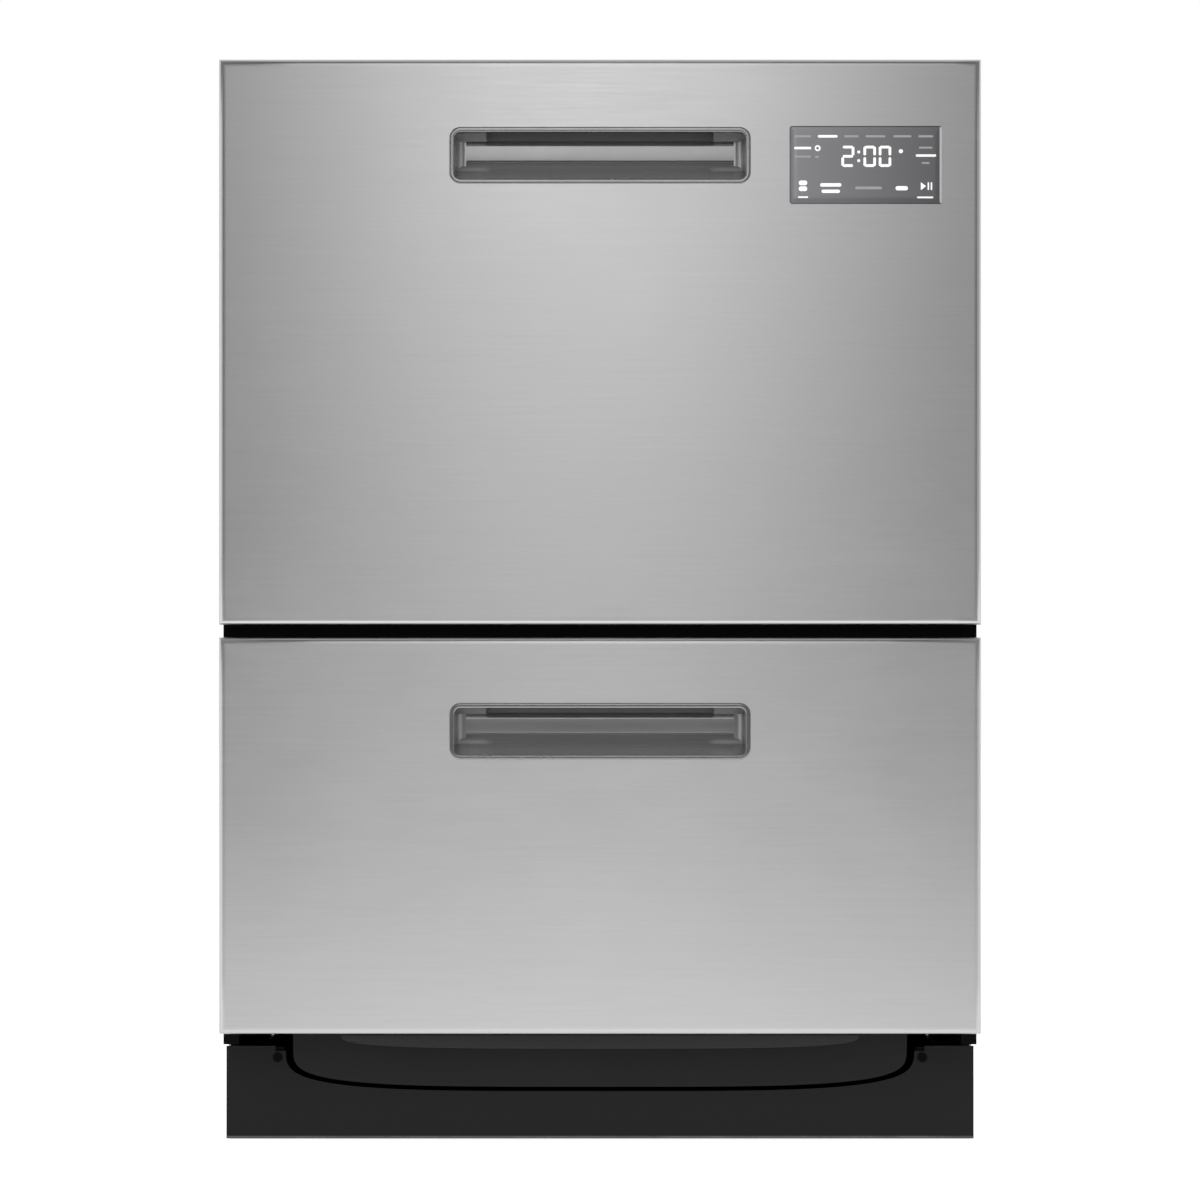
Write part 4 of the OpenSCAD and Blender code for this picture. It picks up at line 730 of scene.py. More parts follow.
def rolled_edge(points, half_w, half_h, cz, radius, back_y):
    """The panel's edge: the face's border is scaled outward, first flat and then while it turns back through a
    quarter circle, and then runs straight back, so the corners are mitred as a folded sheet's are."""
    a = np.linspace(0, np.pi / 2, 9)
    out = np.concatenate([[0.0], FLAT_BORDER + radius * np.sin(a), [FLAT_BORDER + radius]])
    y = np.concatenate([[FACE_Y], FACE_Y + radius * (1 - np.cos(a)), [back_y]])
    x = points[None, :, 0] * (1 + out / half_w)[:, None]
    z = cz + (points[None, :, 1] - cz) * (1 + out / half_h)[:, None]
    return np.stack([x, np.broadcast_to(y[:, None], x.shape), z], -1)


def door_skin(s, sizes):
    """One door panel's skin: flat regions round the handle's hole and the display's, and the rolled edge."""
    (x0, _, z0), (x1, back_y, z1) = PANEL[s]
    r = sizes.edge_radius / MM
    half_w, half_h = (x1 - x0) / 2 - r - FLAT_BORDER, (z1 - z0) / 2 - r - FLAT_BORDER
    cz = (z0 + z1) / 2
    handle_hole = (0.0, handle_z(s), HANDLE_W - 4.0, HANDLE_H - 3.0, HANDLE_R - 1.5)
    patches, border = [], []
    if s == "upper":
        glass_x, glass_z = (GLASS[0] + GLASS[1])[[0, 2]] / 2
        glass_w, glass_h = (GLASS[1] - GLASS[0])[[0, 2]] + GLASS_GAP
        parts = [(-half_w, REGION_SPLIT, handle_hole),
                 (REGION_SPLIT, half_w, (glass_x, glass_z, glass_w, glass_h, GLASS_HOLE_R))]
    else:
        parts = [(-half_w, half_w, handle_hole)]
    for left, right, hole in parts:
        grid, outer = face_region(left, right, cz - half_h, cz + half_h, hole)
        patches.append(patch(front(grid, FACE_Y), wrap_columns=True))
        border.append(outer)
    border = np.concatenate(border)
    from_side, from_top = np.abs(border[:, 0]) - half_w, np.abs(border[:, 1] - cz) - half_h
    on_edge = (np.abs(from_side) < 1e-6) | (np.abs(from_top) < 1e-6)
    border = np.unique(np.round(border[on_edge], 6), axis=0)
    border = border[np.argsort(np.arctan2(border[:, 1] - cz, border[:, 0]))]
    patches.append(patch(rolled_edge(border, half_w, half_h, cz, r, back_y), wrap_columns=True))
    skin = make_piece(f"{s}_door_skin", patches, finish("stainless"), f"{s}_drawer",
                      [f"{s}_front_panel"], sharp=40.0)
    face_out(skin, (0.0, -1.0, 0.0))
    solidify(skin, sizes.skin)


def face_out(piece, direction):
    """Turns an open surface's faces over if most of their area points away from a direction."""
    mesh = piece.data
    normals = np.zeros(len(mesh.polygons) * 3)
    areas = np.zeros(len(mesh.polygons))
    mesh.polygons.foreach_get("normal", normals)
    mesh.polygons.foreach_get("area", areas)
    if (normals.reshape(-1, 3) @ np.array(direction) * areas).sum() < 0:
        mesh.flip_normals()


def lip_trim(s):
    """The shaped edge of the moulding under a door: half a superellipse, a few tenths of a millimetre proud
    of the moulding, with a rounded front border."""
    top = PANEL[s][0][2] - 2.0
    a = np.linspace(np.pi, 2 * np.pi, 73)
    power = 2 / LIP_POWER
    x = LIP_HALF * np.sign(np.cos(a)) * np.abs(np.cos(a)) ** power
    z = -LIP_DROP * np.abs(np.sin(a)) ** power
    x = np.concatenate([x, np.linspace(LIP_HALF, -LIP_HALF, 20)[1:-1]])
    z = np.concatenate([z, np.zeros(18)])
    drawn_in = np.array([0.0, 0.0, 0.25, 0.7, 1.6])[:, None]
    rings = np.stack([x * (1 - drawn_in / LIP_HALF), top - drawn_in + z * (1 - 1.6 * drawn_in / LIP_DROP)], -1)
    y = PANEL[s][1][1] + np.array([0.5, -0.35, -0.7, -0.9, -0.95])
    return closed_loft(front(rings, y))


def kick_seal():
    """The soft strip along the foot of the toe kick: a small rounded section carried across."""
    low, high = KICK
    a = np.linspace(-np.pi / 2, np.pi / 2, 7)
    nose = np.stack([-0.5 * np.cos(a), 1.1 + 0.9 * np.sin(a)], -1)
    section = np.concatenate([[[0.6, 0.2]], nose, [[0.6, 2.0]]])
    x = np.array([low[0] + 0.3, low[0] + 0.6, high[0] - 0.6, high[0] - 0.3])
    grow = np.array([0.85, 1.0, 1.0, 0.85])
    y = low[1] + section[None, :, 0] * grow[:, None]
    z = low[2] + 1.1 + (section[None, :, 1] - 1.1) * grow[:, None]
    return closed_loft(np.stack([np.broadcast_to(x[:, None], y.shape), y, z], -1))


# ---------- handles ----------

GRIP_HALF = 89.0  # half the width of the slot over the pocket's wall
GRIP_RISE = 12.0  # how high the hollow behind the slot goes
GRIP_IN = 5.0  # depth at which the hollow begins
TAB_DROP = 5.4  # how far a tab comes down from the pocket's top
TAB_IN = 14.0  # depth of a tab's upper edge
TAB_FOOT = 20.7  # depth of a tab's lower edge
WALL_DEEP = 24.7  # depth of the back wall
WALL_TOP = 26.6  # depth that the wall's top rolls back to
WALL_LIP = 2.2  # height of that roll
POCKET_DEEP = 28.2
END_SLOPE = 1.2  # how far an end draws in over the pocket's depth
CORNER_R = 7.5
POCKET_HALF = HANDLE_H / 2 - RIM_W
FILLET = 6


def handle_rim(s, sizes):
    """The rim is a flat band with rounded shoulders, carried round the handle's outline: each point of its
    section is the outline drawn in by that much, at its own depth."""
    z, proud = handle_z(s), sizes.rim_proud / MM
    section = np.array([
        [0.0, 0.0], [0.12, -0.45], [0.45, -0.85], [1.0, -1.0], [2.9, -1.0], [3.5, -0.86], [3.85, -0.5],
        [4.0, 0.0], [4.0, 2.6], [2.6, 2.6], [2.6, 0.3],
    ])
    drawn_in, depth = section[:, 0], section[:, 1]
    y = FACE_Y + np.where(depth < 0, depth * proud, depth)
    rings = outline(0.0, z, HANDLE_W - 2 * drawn_in, HANDLE_H - 2 * drawn_in, HANDLE_R - drawn_in, corner=12)
    return patch(front(rings, y), wrap_rows=True, wrap_columns=True)


def grip_stations(depth, keep):
    """Positions along X at each depth: even under the grip slot, and out to the sloping end beyond it."""
    reach = HANDLE_W / 2 - RIM_W - END_SLOPE * depth / POCKET_DEEP
    rows = [-reach, (-reach - GRIP_HALF) / 2]
    rows += [np.full_like(depth, x) for x in np.linspace(-GRIP_HALF, GRIP_HALF, 15)]
    rows += [(reach + GRIP_HALF) / 2, reach]
    return np.stack(rows)[keep]


def carried(s, section, keep=slice(None)):
    """A section of (depth, height) pairs carried along X."""
    depth, height = np.array(section, float).T
    x = grip_stations(depth, keep)
    y, z = (np.broadcast_to(v, x.shape) for v in (FACE_Y + depth, handle_z(s) + height))
    return patch(np.stack([x, y, z], -1))


def end_face(s, side, rows, x=None):
    """A face across the pocket between rows of (depth, height) pairs, on its sloping end or at an X."""
    rows = np.array(rows, float)
    if x is None:
        x = HANDLE_W / 2 - RIM_W - END_SLOPE * rows[..., 0] / POCKET_DEEP
    x = side * x * np.ones(rows.shape[:-1])
    return patch(np.stack([x, FACE_Y + rows[..., 0], handle_z(s) + rows[..., 1]], -1))


def pocket_patches(s):
    """The finger pocket: a section in depth and height carried along X, between two ends. The section runs from
    the rim up a ramp and over a ridge, into a groove and up a back wall. Over the wall a slot opens in the
    middle, and at both ends a sloping tab closes the top. The corners at the wall's ends are rounded."""
    h = POCKET_HALF
    top_v = h - TAB_DROP
    low = bent([[0.4, -h], [1.6, -h + 0.3], [21.0, -10.9], [23.2, -7.4], [POCKET_DEEP, -2.8], [WALL_DEEP, -1.9],
                [WALL_DEEP, top_v - WALL_LIP], [WALL_TOP, top_v]], [0.5, 1.4, 1.2, 0.8, 0.6, 1.6], FILLET)
    ridge_end, wall_start = 3 * (FILLET + 1), 5 * (FILLET + 1)
    middle = (ridge_end + wall_start) // 2
    lip = [[GRIP_IN, h], [1.0, h], [0.4, h]]
    tab = bent([[WALL_TOP, top_v], [TAB_FOOT, top_v], [TAB_IN, h], [0.4, h]], [1.0, 0.6], FILLET)
    found = [carried(s, low), carried(s, lip, slice(2, -2)), carried(s, tab, slice(0, 3)),
             carried(s, tab, slice(-3, None))]
    bottom = np.concatenate([low[: ridge_end + 1], low[wall_start : wall_start + 1]])
    top = np.stack([bottom[:, 0], np.full(len(bottom), top_v)], -1)
    groove = [low[ridge_end : middle + 1], low[wall_start : middle - 1 : -1]]
    cap = [[[0.4, top_v], [1.6, top_v], [TAB_FOOT, top_v]], [[0.4, h], [1.6, h], [TAB_IN, h]]]
    tab_end = [[[TAB_FOOT, top_v], [POCKET_DEEP, top_v]], [[TAB_IN, h], [POCKET_DEEP, h]],
               [[GRIP_IN, h + GRIP_RISE], [POCKET_DEEP, h + GRIP_RISE]]]
    end_x = HANDLE_W / 2 - RIM_W
    corner_x = end_x - END_SLOPE * WALL_DEEP / POCKET_DEEP
    start_x = end_x - END_SLOPE * (WALL_DEEP - CORNER_R) / POCKET_DEEP
    corner = bent([[start_x, WALL_DEEP - CORNER_R], [corner_x, WALL_DEEP], [corner_x - CORNER_R, WALL_DEEP]],
                  CORNER_R * 0.98, 10) - 0.06
    for side in (-1, 1):
        found += [end_face(s, side, rows) for rows in ([bottom, top], groove, cap)]
        found.append(end_face(s, side, tab_end, GRIP_HALF))
        v = np.linspace(-10.5, top_v, 6)[:, None]
        x, y, z = np.broadcast_arrays(side * corner[:, 0], FACE_Y + corner[:, 1], handle_z(s) + v)
        found.append(patch(np.stack([x, y, z], -1)))
    return found


def hollow_patch(s):
    """The dark hollow behind the slot over the pocket's wall, up behind the door's skin."""
    h = POCKET_HALF
    section = [[WALL_TOP, h - TAB_DROP], [POCKET_DEEP, h - TAB_DROP + 0.4], [POCKET_DEEP, h + GRIP_RISE],
               [GRIP_IN, h + GRIP_RISE], [GRIP_IN, h]]
    return carried(s, section, slice(2, -2))


def handle_insert(s, sizes):
    """A handle's pocket with its wall, and the rim in front of it."""
    pocket = make_piece(f"{s}_handle_insert", pocket_patches(s), finish("handle_inside"), f"{s}_drawer",
                        [f"{s}_handle_pocket"], sharp=28.0)
    # painted shade: the hollow's dark finish stands for the shade inside it
    hollow = make_piece(f"{s}_grip_hollow", [hollow_patch(s)], finish("grip_hollow"), f"{s}_drawer")
    for shell in (pocket, hollow):
        face_out(shell, (0.0, -1.0, 0.0))
        solidify(shell, 1.0 * MM)
    make_piece(f"{s}_handle_rim", [handle_rim(s, sizes)], finish("handle_metal"), f"{s}_drawer",
               sharp=60.0)


# ---------- display ----------


def window():
    """The display's window: an outline with small round corners, lofted from the back to a chamfered front."""
    (x0, y0, z0), (x1, y1, z1) = GLASS
    w, h = x1 - x0, z1 - z0
    drawn_in = np.array([0.0, 0.0, 0.12, 0.45, 6.0])
    y = np.array([y1, y0 + 0.35, y0 + 0.1, y0, y0])
    rings = outline((x0 + x1) / 2, (z0 + z1) / 2, w - 2 * drawn_in, h - 2 * drawn_in,
                    np.maximum(1.8 - drawn_in, 0.2))
    return closed_loft(front(rings, y))


def window_edge():
    """A narrow plate with round corners along the window's right side, whose pale grey is a painted highlight on the
    glass's edge.
    """
    (_, y0, z0), (x1, _, z1) = GLASS
    drawn_in = np.array([0.0, 0.0, 0.15, 0.5])
    w, h = 2.2 - 2 * drawn_in, z1 - z0 - 0.6 - 2 * drawn_in
    rings = outline(x1 - 0.75, (z0 + z1) / 2, w, h, 1.05 - drawn_in)
    return closed_loft(front(rings, y0 + np.array([0.5, 0.05, -0.08, -0.15])))


MARK_T = 0.06


def bars(rows, y0):
    """Flat bars with round ends, each given by its centre, width and height in the window."""
    cx, cz, w, h = np.array(rows, float).T
    shape = outline(0.0, 0.0, w, h, np.minimum(w, h) * 0.45, corner=4, side=1)
    shape = shape + np.stack([cx, cz], -1)[:, None]
    lofts = []
    for points in shape:
        lofts.append(closed_loft(front(np.stack([points, points]), np.array([y0, y0 - MARK_T]))))
    return lofts


def digit(cx, cz, w, h, t, parts):
    """A seven-segment digit as bars: a, d and g lie across, b, c, e and f stand at the sides."""
    across, upright = w - t * 1.05, h / 2 - t * 0.7
    places = {
        "a": (cx, cz + h / 2 - t / 2, across, t), "g": (cx, cz, across, t), "d": (cx, cz - h / 2 + t / 2, across, t),
        "b": (cx + w / 2 - t / 2, cz + h / 4, t, upright), "c": (cx + w / 2 - t / 2, cz - h / 4, t, upright),
        "f": (cx - w / 2 + t / 2, cz + h / 4, t, upright), "e": (cx - w / 2 + t / 2, cz - h / 4, t, upright),
    }
    return [places[p] for p in parts]


# Bars and icons in the window, in millimetres from its centre: across, up, width, height
LIT_BARS = [
    (-30.0, 22.5, 15.4, 2.0), (-49.6, 13.3, 13.4, 1.9), (47.0, 7.4, 16.0, 1.8),
    (-27.6, -15.6, 16.6, 2.7), (-27.6, -20.6, 14.4, 2.6), (28.0, -18.2, 9.6, 3.3),
    (-49.4, -25.2, 8.0, 1.2), (46.4, -25.4, 12.6, 1.3),
]
ICON_SQUARES = [(-49.4, -14.0, 6.6, 3.7), (-49.4, -18.6, 6.6, 3.7)]
DIM_BARS = [
    (-49.6, 22.5, 13.2, 1.7), (-11.4, 22.5, 11.4, 1.7), (7.4, 22.5, 15.6, 1.7), (28.6, 22.5, 14.2, 1.7),
    (46.8, 22.5, 11.6, 1.7), (-49.6, 6.6, 12.6, 1.5), (46.8, 13.6, 10.6, 1.4), (46.8, 1.6, 6.0, 1.4),
    (2.0, -18.0, 21.0, 2.2), (-38.4, 6.4, 3.4, 1.5),
]


def display_marks():
    """The lit digits and bars, and the dim ones, as thin plates just in front of the window."""
    (x0, y0, z0), (x1, _, z1) = GLASS
    centre = np.array([(x0 + x1) / 2, (z0 + z1) / 2, 0.0, 0.0])
    digits = []
    for cx, w, parts in ((-14.2, 10.2, "abged"), (2.9, 9.8, "abcdef"), (14.9, 9.8, "abcdef")):
        digits += digit(cx, 6.8, w, 16.6, 2.1, parts)
    digits += [(-5.7, 10.2, 2.3, 2.3), (-5.7, 3.4, 2.3, 2.3), (27.3, 10.8, 3.2, 3.2)]
    lit = bars(np.array(digits + LIT_BARS + ICON_SQUARES) + centre, y0)
    triangle = np.array([[43.0, -13.5], [43.0, -19.7], [47.0, -16.6]]) + centre[:2]
    steps = np.linspace(0, 1, 5)[:-1, None]
    around = np.concatenate([triangle[k] + (triangle[(k + 1) % 3] - triangle[k]) * steps for k in range(3)])
    lit.append(closed_loft(front(np.stack([around, around]), np.array([y0, y0 - MARK_T]))))
    lit += bars(np.array([(48.9, -16.6, 1.1, 6.2), (51.3, -16.6, 1.1, 6.2)]) + centre, y0)
    across = np.array([4.6, 4.6, 2.2, 2.2])
    ring = outline(-37.9, 13.2, across, across, np.array([2.2, 2.2, 1.0, 1.0]), corner=5, side=1) + centre[:2]
    ring = front(ring, y0 - np.array([0.0, MARK_T, MARK_T, 0.0]))
    lit.append(patch(ring, wrap_rows=True, wrap_columns=True))
    return lit, bars(np.array(DIM_BARS) + centre, y0)


# ---------- racks ----------

WAIST_SHARE = 0.47
TINE_X = 62.0
TINE_PITCH = 31.0
TINE_FROM_FRONT = 36.0
COLUMNS = 12
SIDE_H = 130.0
TINE_H = 78.0
HINGE_IN = 8.0
HINGE_DROP = 14.0
FOOT_R = 6.0
RACK_WIRE = 2.2
WIRE_BEND = 16.0
RUNNER_BEND = 14.0
RUNNER_RISE = 24.0
ROD_FRONT, ROD_BACK = 66.0, 54.0  # from the rack's front and back to the hinge rod's ends
STAY_IN = 4.5  # from an end of the rod to its stay
TINE_LEAN = 3.0
ALONG_Y = (1.0, 0.0, 0.0)  # a direction that a wire along Y never takes


def rack_patches(s, sizes):
    """A rack of round wires: hoops round its rim and waist, U-shaped wires that run down one side, across the
    floor and up the other, both ways, upright tines in two rows, a hinge rod with its stays, and four feet."""
    fat, thin, sides = sizes.frame_wire / MM, sizes.grid_wire / MM, sizes.wire_sides
    corner = sizes.rack_corner / MM
    low, high = RACK[s]
    top = high[2] - fat * np.cos(np.pi / 8)
    floor = top - SIDE_H
    half_x = high[0] - RACK_WIRE
    y0, y1 = low[1] + RACK_WIRE, high[1] - RACK_WIRE
    cy, depth = (y0 + y1) / 2, y1 - y0
    tines_y = y0 + TINE_FROM_FRONT + TINE_PITCH * np.arange(12)
    columns_x = 2 * half_x / COLUMNS * np.arange(-COLUMNS // 2 + 1, COLUMNS // 2)
    found = []
    for z, wire, inset in ((top, fat, 0.0), (floor + WAIST_SHARE * SIDE_H, thin, -0.4)):
        path = outline(0.0, cy, 2 * (half_x - inset), depth - 2 * inset, corner, corner=10, side=2)
        found.append(hoop(level(path, z), wire, sides))
    reach = half_x - fat * 0.9
    for y in tines_y[::2]:
        path = bent([[-reach, y, top], [-reach, y, floor], [reach, y, floor], [reach, y, top]], WIRE_BEND)
        found.append(tube(path, thin, sides))
    near, far = y0 + fat * 0.9, y1 - fat * 0.9
    for x in columns_x:
        path = [[x, near, top], [x, near, floor + thin], [x, far, floor + thin], [x, far, top]]
        found.append(tube(bent(path, WIRE_BEND), thin, sides, ALONG_Y))
    for x in (-TINE_X, TINE_X):
        ends = floor + RUNNER_RISE
        path = [[x, y0 + 2, ends], [x, y0 + 2, floor], [x, y1 - 2, floor], [x, y1 - 2, ends]]
        found.append(tube(bent(path, RUNNER_BEND), fat, sides, ALONG_Y))
        for y in tines_y:
            lean = np.linspace(0, 1, 5)
            path = np.stack([x + 0 * lean, y + TINE_LEAN * lean**2, floor + (TINE_H - 2) * lean], -1)
            found.append(tube(path, thin, max(6, sides - 2)))
    rod_x, rod_z = half_x - HINGE_IN, floor + SIDE_H - HINGE_DROP
    rod = [[rod_x, y0 + ROD_FRONT, rod_z], [rod_x, y1 - ROD_BACK, rod_z]]
    found.append(tube(rod, 2.0, 12, across=(0.0, 0.0, 1.0)))
    stay_x = half_x - 3.4
    for y in (y0 + ROD_FRONT + STAY_IN, y1 - ROD_BACK - STAY_IN):
        path = bent([[rod_x - 1.5, y, rod_z], [stay_x, y, rod_z + 2.0], [stay_x, y, top - 1.0]], 3.5, 4)
        found.append(tube(path, thin, sides))
    foot_z = TUB_FLOOR[s]
    for x in (columns_x[0], columns_x[-1]):
        for y in (tines_y[0], tines_y[10]):
            found.append(turned([
                (FOOT_R - 1.6, 0), (FOOT_R - 0.4, 0.5), (FOOT_R, 2), (FOOT_R, 9), (FOOT_R - 1.8, 14),
                (3.6, floor - foot_z - 6), (4.4, floor - foot_z - 2), (3.4, floor - foot_z + 2.4),
            ], (x, y, foot_z), sides=20))
    return found


# ---------- tubs and wash system ----------


def tub_cove(s, sizes):
    """The rounded joint between a tub's floor and walls: a quarter circle, hollow side up, carried round the
    tub's inner outline, closed by the corner behind it."""
    r = sizes.cove / MM
    a = np.linspace(0, np.pi / 2, 9)
    drawn_in = np.concatenate([r - r * np.cos(a), [r, -0.5, -0.5]])
    up = np.concatenate([r - r * np.sin(a), [-0.5, -0.5, r]])
    w, d = TUB_W - 2 * TUB_WALL, TUB_D - 2 * TUB_WALL
    rings = outline(0.0, TUB_Y, w - 2 * drawn_in, d - 2 * drawn_in, 36.0 - drawn_in, corner=12)
    return patch(level(rings, TUB_FLOOR[s] + up), wrap_rows=True, wrap_columns=True)


ARM_START = 6.0
TIP_START, TIP_LENGTH = 0.94, 0.06
JETS = 5


def arm_bow(t):
    """How far a blade's middle lies to the side at a share of its length: a parabola."""
    return 1 + 11 * t * (1 - t)


def arm_blade(s, turn):
    """Half of a spray arm: a flattened oval section carried outward, whose middle bows sideways by a
    parabola while its width narrows, and which closes in a quarter ellipse at the tip."""
    low, high = ARM[s]
    reach = (high[0] - low[0]) / 2
    near_tip = 1 - TIP_LENGTH * (1 - np.sin(np.linspace(0.1, np.pi / 2, 8)))
    t = np.concatenate([np.linspace(0, TIP_START, 20), near_tip])
    x = ARM_START + (reach - ARM_START) * t
    closing = np.sqrt(np.clip(1 - np.clip((t - TIP_START) / TIP_LENGTH, 0, 1) ** 2, 0.004, 1))
    half, tall = (16 - 7 * t) * closing, 4.5 * closing
    a = np.linspace(0, 2 * np.pi, 28, endpoint=False)
    y = arm_bow(t)[:, None] + half[:, None] * np.sign(np.cos(a)) * np.abs(np.cos(a)) ** 0.75
    z = low[2] + 8.5 + tall[:, None] * np.sign(np.sin(a)) * np.abs(np.sin(a)) ** 0.65
    x = np.broadcast_to(x[:, None], y.shape)
    return closed_loft(np.stack([turn * x, TUB_Y + turn * y, z], -1))


def spray_arm(s):
    """Two blades, a turned hub with a grip ring, and open jets along each blade."""
    low, high = ARM[s]
    reach, z = (high[0] - low[0]) / 2, low[2]
    hub = [(12, 0), (20, 0.5), (21, 2), (21, 14), (20.2, 16.2), (18.6, 17), (12.5, 17.2), (11.5, 18.4),
           (6.4, 18.5), (5.3, 17.6), (5.3, 10)]
    jet = [(4.4, 9), (4.2, 12.6), (3.5, 14.6), (2.4, 15.0), (1.5, 14.2), (1.3, 11)]
    found = [arm_blade(s, 1), arm_blade(s, -1), turned(hub, (0, TUB_Y, z), sides=40)]
    pitch = (reach - 39) / JETS
    for turn in (-1, 1):
        for k in range(1, JETS + 1):
            x = turn * (22 + k * pitch)
            t = (abs(x) - ARM_START) / (reach - ARM_START)
            found.append(turned(jet, (x, TUB_Y + turn * arm_bow(t), z), sides=16))
    return found


# ---------- link hoses ----------

# The route of a hose from the tub's elbow to its pipe, in millimetres from the elbow's foot
HOSE_ROUTE = np.array([
    [0, 26, 16], [0, 26, 30], [-1, 26, 60], [-6, 26, 93], [-16, 26, 124], [-31, 27, 152], [-50, 27, 177],
    [-73, 28, 198], [-99, 29, 215], [-128, 30, 226], [-159, 31, 234], [-190, 32, 236], [-221, 33, 234],
    [-252, 34, 226], [-281, 35, 215], [-307, 36, 198], [-330, 37, 177], [-349, 38, 152], [-364, 39, 124],
    [-374, 40, 93], [-379, 40, 60], [-380, 40, 30], [-380, 40, 16],
], float)
HOSE_R = 9.0
HOSE_STEP = 0.8
RIB_DEEP = 0.9
RIB_SQUARE = 1.8  # the higher, the squarer the ribs
CUFF, CUFF_FADE = 24.0, 3.0
CLAMP = (14.0, 21.0)  # where a clamp band starts and ends, from the hose's end
HOSE_AT = {"upper": (150.0, 228.5, 520.5), "lower": (190.0, 228.5, 140.0)}


def hose_patches(s, sizes):
    """A circle carried along the hose's route. Its radius follows a rounded wave of the arc length, which
    makes the ribs, and is even along the cuffs, where a clamp band stands out."""
    path, along = smooth_path(HOSE_ROUTE + np.array(HOSE_AT[s]), HOSE_STEP)
    length = along[-1]
    wave = np.cos(2 * np.pi * along / (sizes.rib_pitch / MM))
    cuff = np.clip((np.minimum(along, length - along) - CUFF) / CUFF_FADE, 0, 1)
    ribs = HOSE_R - RIB_DEEP + RIB_DEEP * np.tanh(RIB_SQUARE * wave) / np.tanh(RIB_SQUARE)
    found = [tube(path, (HOSE_R - 0.1) * (1 - cuff) + ribs * cuff, 20)]
    for start, end in (CLAMP, (length - CLAMP[1], length - CLAMP[0])):
        pick = np.where((along > start) & (along < end))[0]
        swell = np.sin(np.linspace(0.25, np.pi - 0.25, len(pick))) ** 0.3
        found.append(tube(path[pick], HOSE_R - 0.2 + RIB_DEEP * swell, 24))
    return found, path


# ---------- fasteners ----------


SIDE_ROW_Y = 262.0  # the row of screws near the back edge of the sides and the top


def screw(centre, axis, r=3.6, h=1.9):
    """A pan-head screw: a low dome turned round its axis, with a six-lobed socket in its top."""
    dome = [(r, -0.3), (r, 0.3), (r * 0.94, h * 0.55), (r * 0.72, h * 0.88), (r * 0.5, h), (r * 0.42, h * 0.96),
            (r * 0.38, h * 0.3)]
    return turned(dome, centre, axis, sides=24, lobes=6, lobe_depth=0.14)


def screw_places():
    """Screws along the edges of the rear sheet, the sides and the top, as (centre, axis)."""
    (x0, y0, z0), (x1, _, z1) = REAR
    back = y0 + 2.4
    found = [((x, back, z), "+y") for x in (x0 + 9, x1 - 9) for z in np.linspace(z0 + 20, z1 - 14, 6)]
    found += [((x, back, z1 - 12), "+y") for x in np.linspace(x0 + 90, x1 - 90, 4)]
    side, top = CABINET[1][0], CABINET[1][2]
    for axis, x in (("x", side), ("-x", -side)):
        found += [((x, y, top - 14), axis) for y in (-190.0, 0.0, 200.0)]
        found += [((x, SIDE_ROW_Y, z), axis) for z in (60.0, 300.0, 560.0, 800.0)]
    found += [((x, SIDE_ROW_Y, top), "z") for x in (-210.0, 0.0, 210.0)]
    return found


# ---------- operators ----------

# The surround and the base tray get a darker black than their moulding: painted shade for the gaps they sit in.
OWN_FINISH = {
    "front_surround": "deep_black", "base_tray": "deep_black",
    "upper_filter_plate": "filter_mesh", "lower_filter_plate": "filter_mesh",
}


class DISHWASHER_OT_finishes(bpy.types.Operator):
    """Give every carried-over part of the frame its finish"""

    bl_idname = "dishwasher.finishes"
    bl_label = "Finishes"
    bl_options = {"REGISTER", "UNDO"}

    def execute(self, context):
        slots = {part["node"]: part["material_slot"] for part in frame["record"]["subparts"]}
        for name, node in frame["nodes"].items():
            node.data.materials.clear()
            node.data.materials.append(finish(OWN_FINISH.get(name, slots[name])))
        return {"FINISHED"}


class DISHWASHER_OT_door_skins(bpy.types.Operator):
    """Make the stainless skins of both door panels"""

    bl_idname = "dishwasher.door_skins"
    bl_label = "Door Skins"
    bl_options = {"REGISTER", "UNDO"}

    def execute(self, context):
        for s in DRAWERS:
            door_skin(s, context.scene.dishwasher_sizes)
        make_piece("kick_seal", [kick_seal()], finish("seal_grey"), "root")
        make_piece("lower_door_lip", [lip_trim("lower")], finish("lip_plastic"), "lower_drawer")
        return {"FINISHED"}


class DISHWASHER_OT_handles(bpy.types.Operator):
    """Make both handle inserts with their rims"""

    bl_idname = "dishwasher.handles"
    bl_label = "Handles"
    bl_options = {"REGISTER", "UNDO"}

    def execute(self, context):
        for s in DRAWERS:
            handle_insert(s, context.scene.dishwasher_sizes)
        return {"FINISHED"}


class DISHWASHER_OT_display(bpy.types.Operator):
    """Make the display's window and its lit and dim marks"""

    bl_idname = "dishwasher.display"
    bl_label = "Display"
    bl_options = {"REGISTER", "UNDO"}

    def execute(self, context):
        lit, dim = display_marks()
        for name, patches, look, stands_for in (
            ("display_window", [window()], "display_glass", ["display_glass"]),
            # the pale plate along the window's right edge is a painted highlight
            ("display_window_edge", [window_edge()], "window_edge", ()),
            ("display_lit_marks", lit, "lit", ()),
            ("display_dim_marks", dim, "unlit", ()),
        ):
            make_piece(name, patches, finish(look), "upper_drawer", stands_for)
        return {"FINISHED"}


class DISHWASHER_OT_racks(bpy.types.Operator):
    """Make the wire racks"""

    bl_idname = "dishwasher.racks"
    bl_label = "Racks"
    bl_options = {"REGISTER", "UNDO"}

    def execute(self, context):
        for s in DRAWERS:
            make_piece(f"{s}_wire_rack", rack_patches(s, context.scene.dishwasher_sizes), finish("rack_nylon"),
                       f"{s}_drawer", [f"{s}_rack"], sharp=60.0)
        return {"FINISHED"}


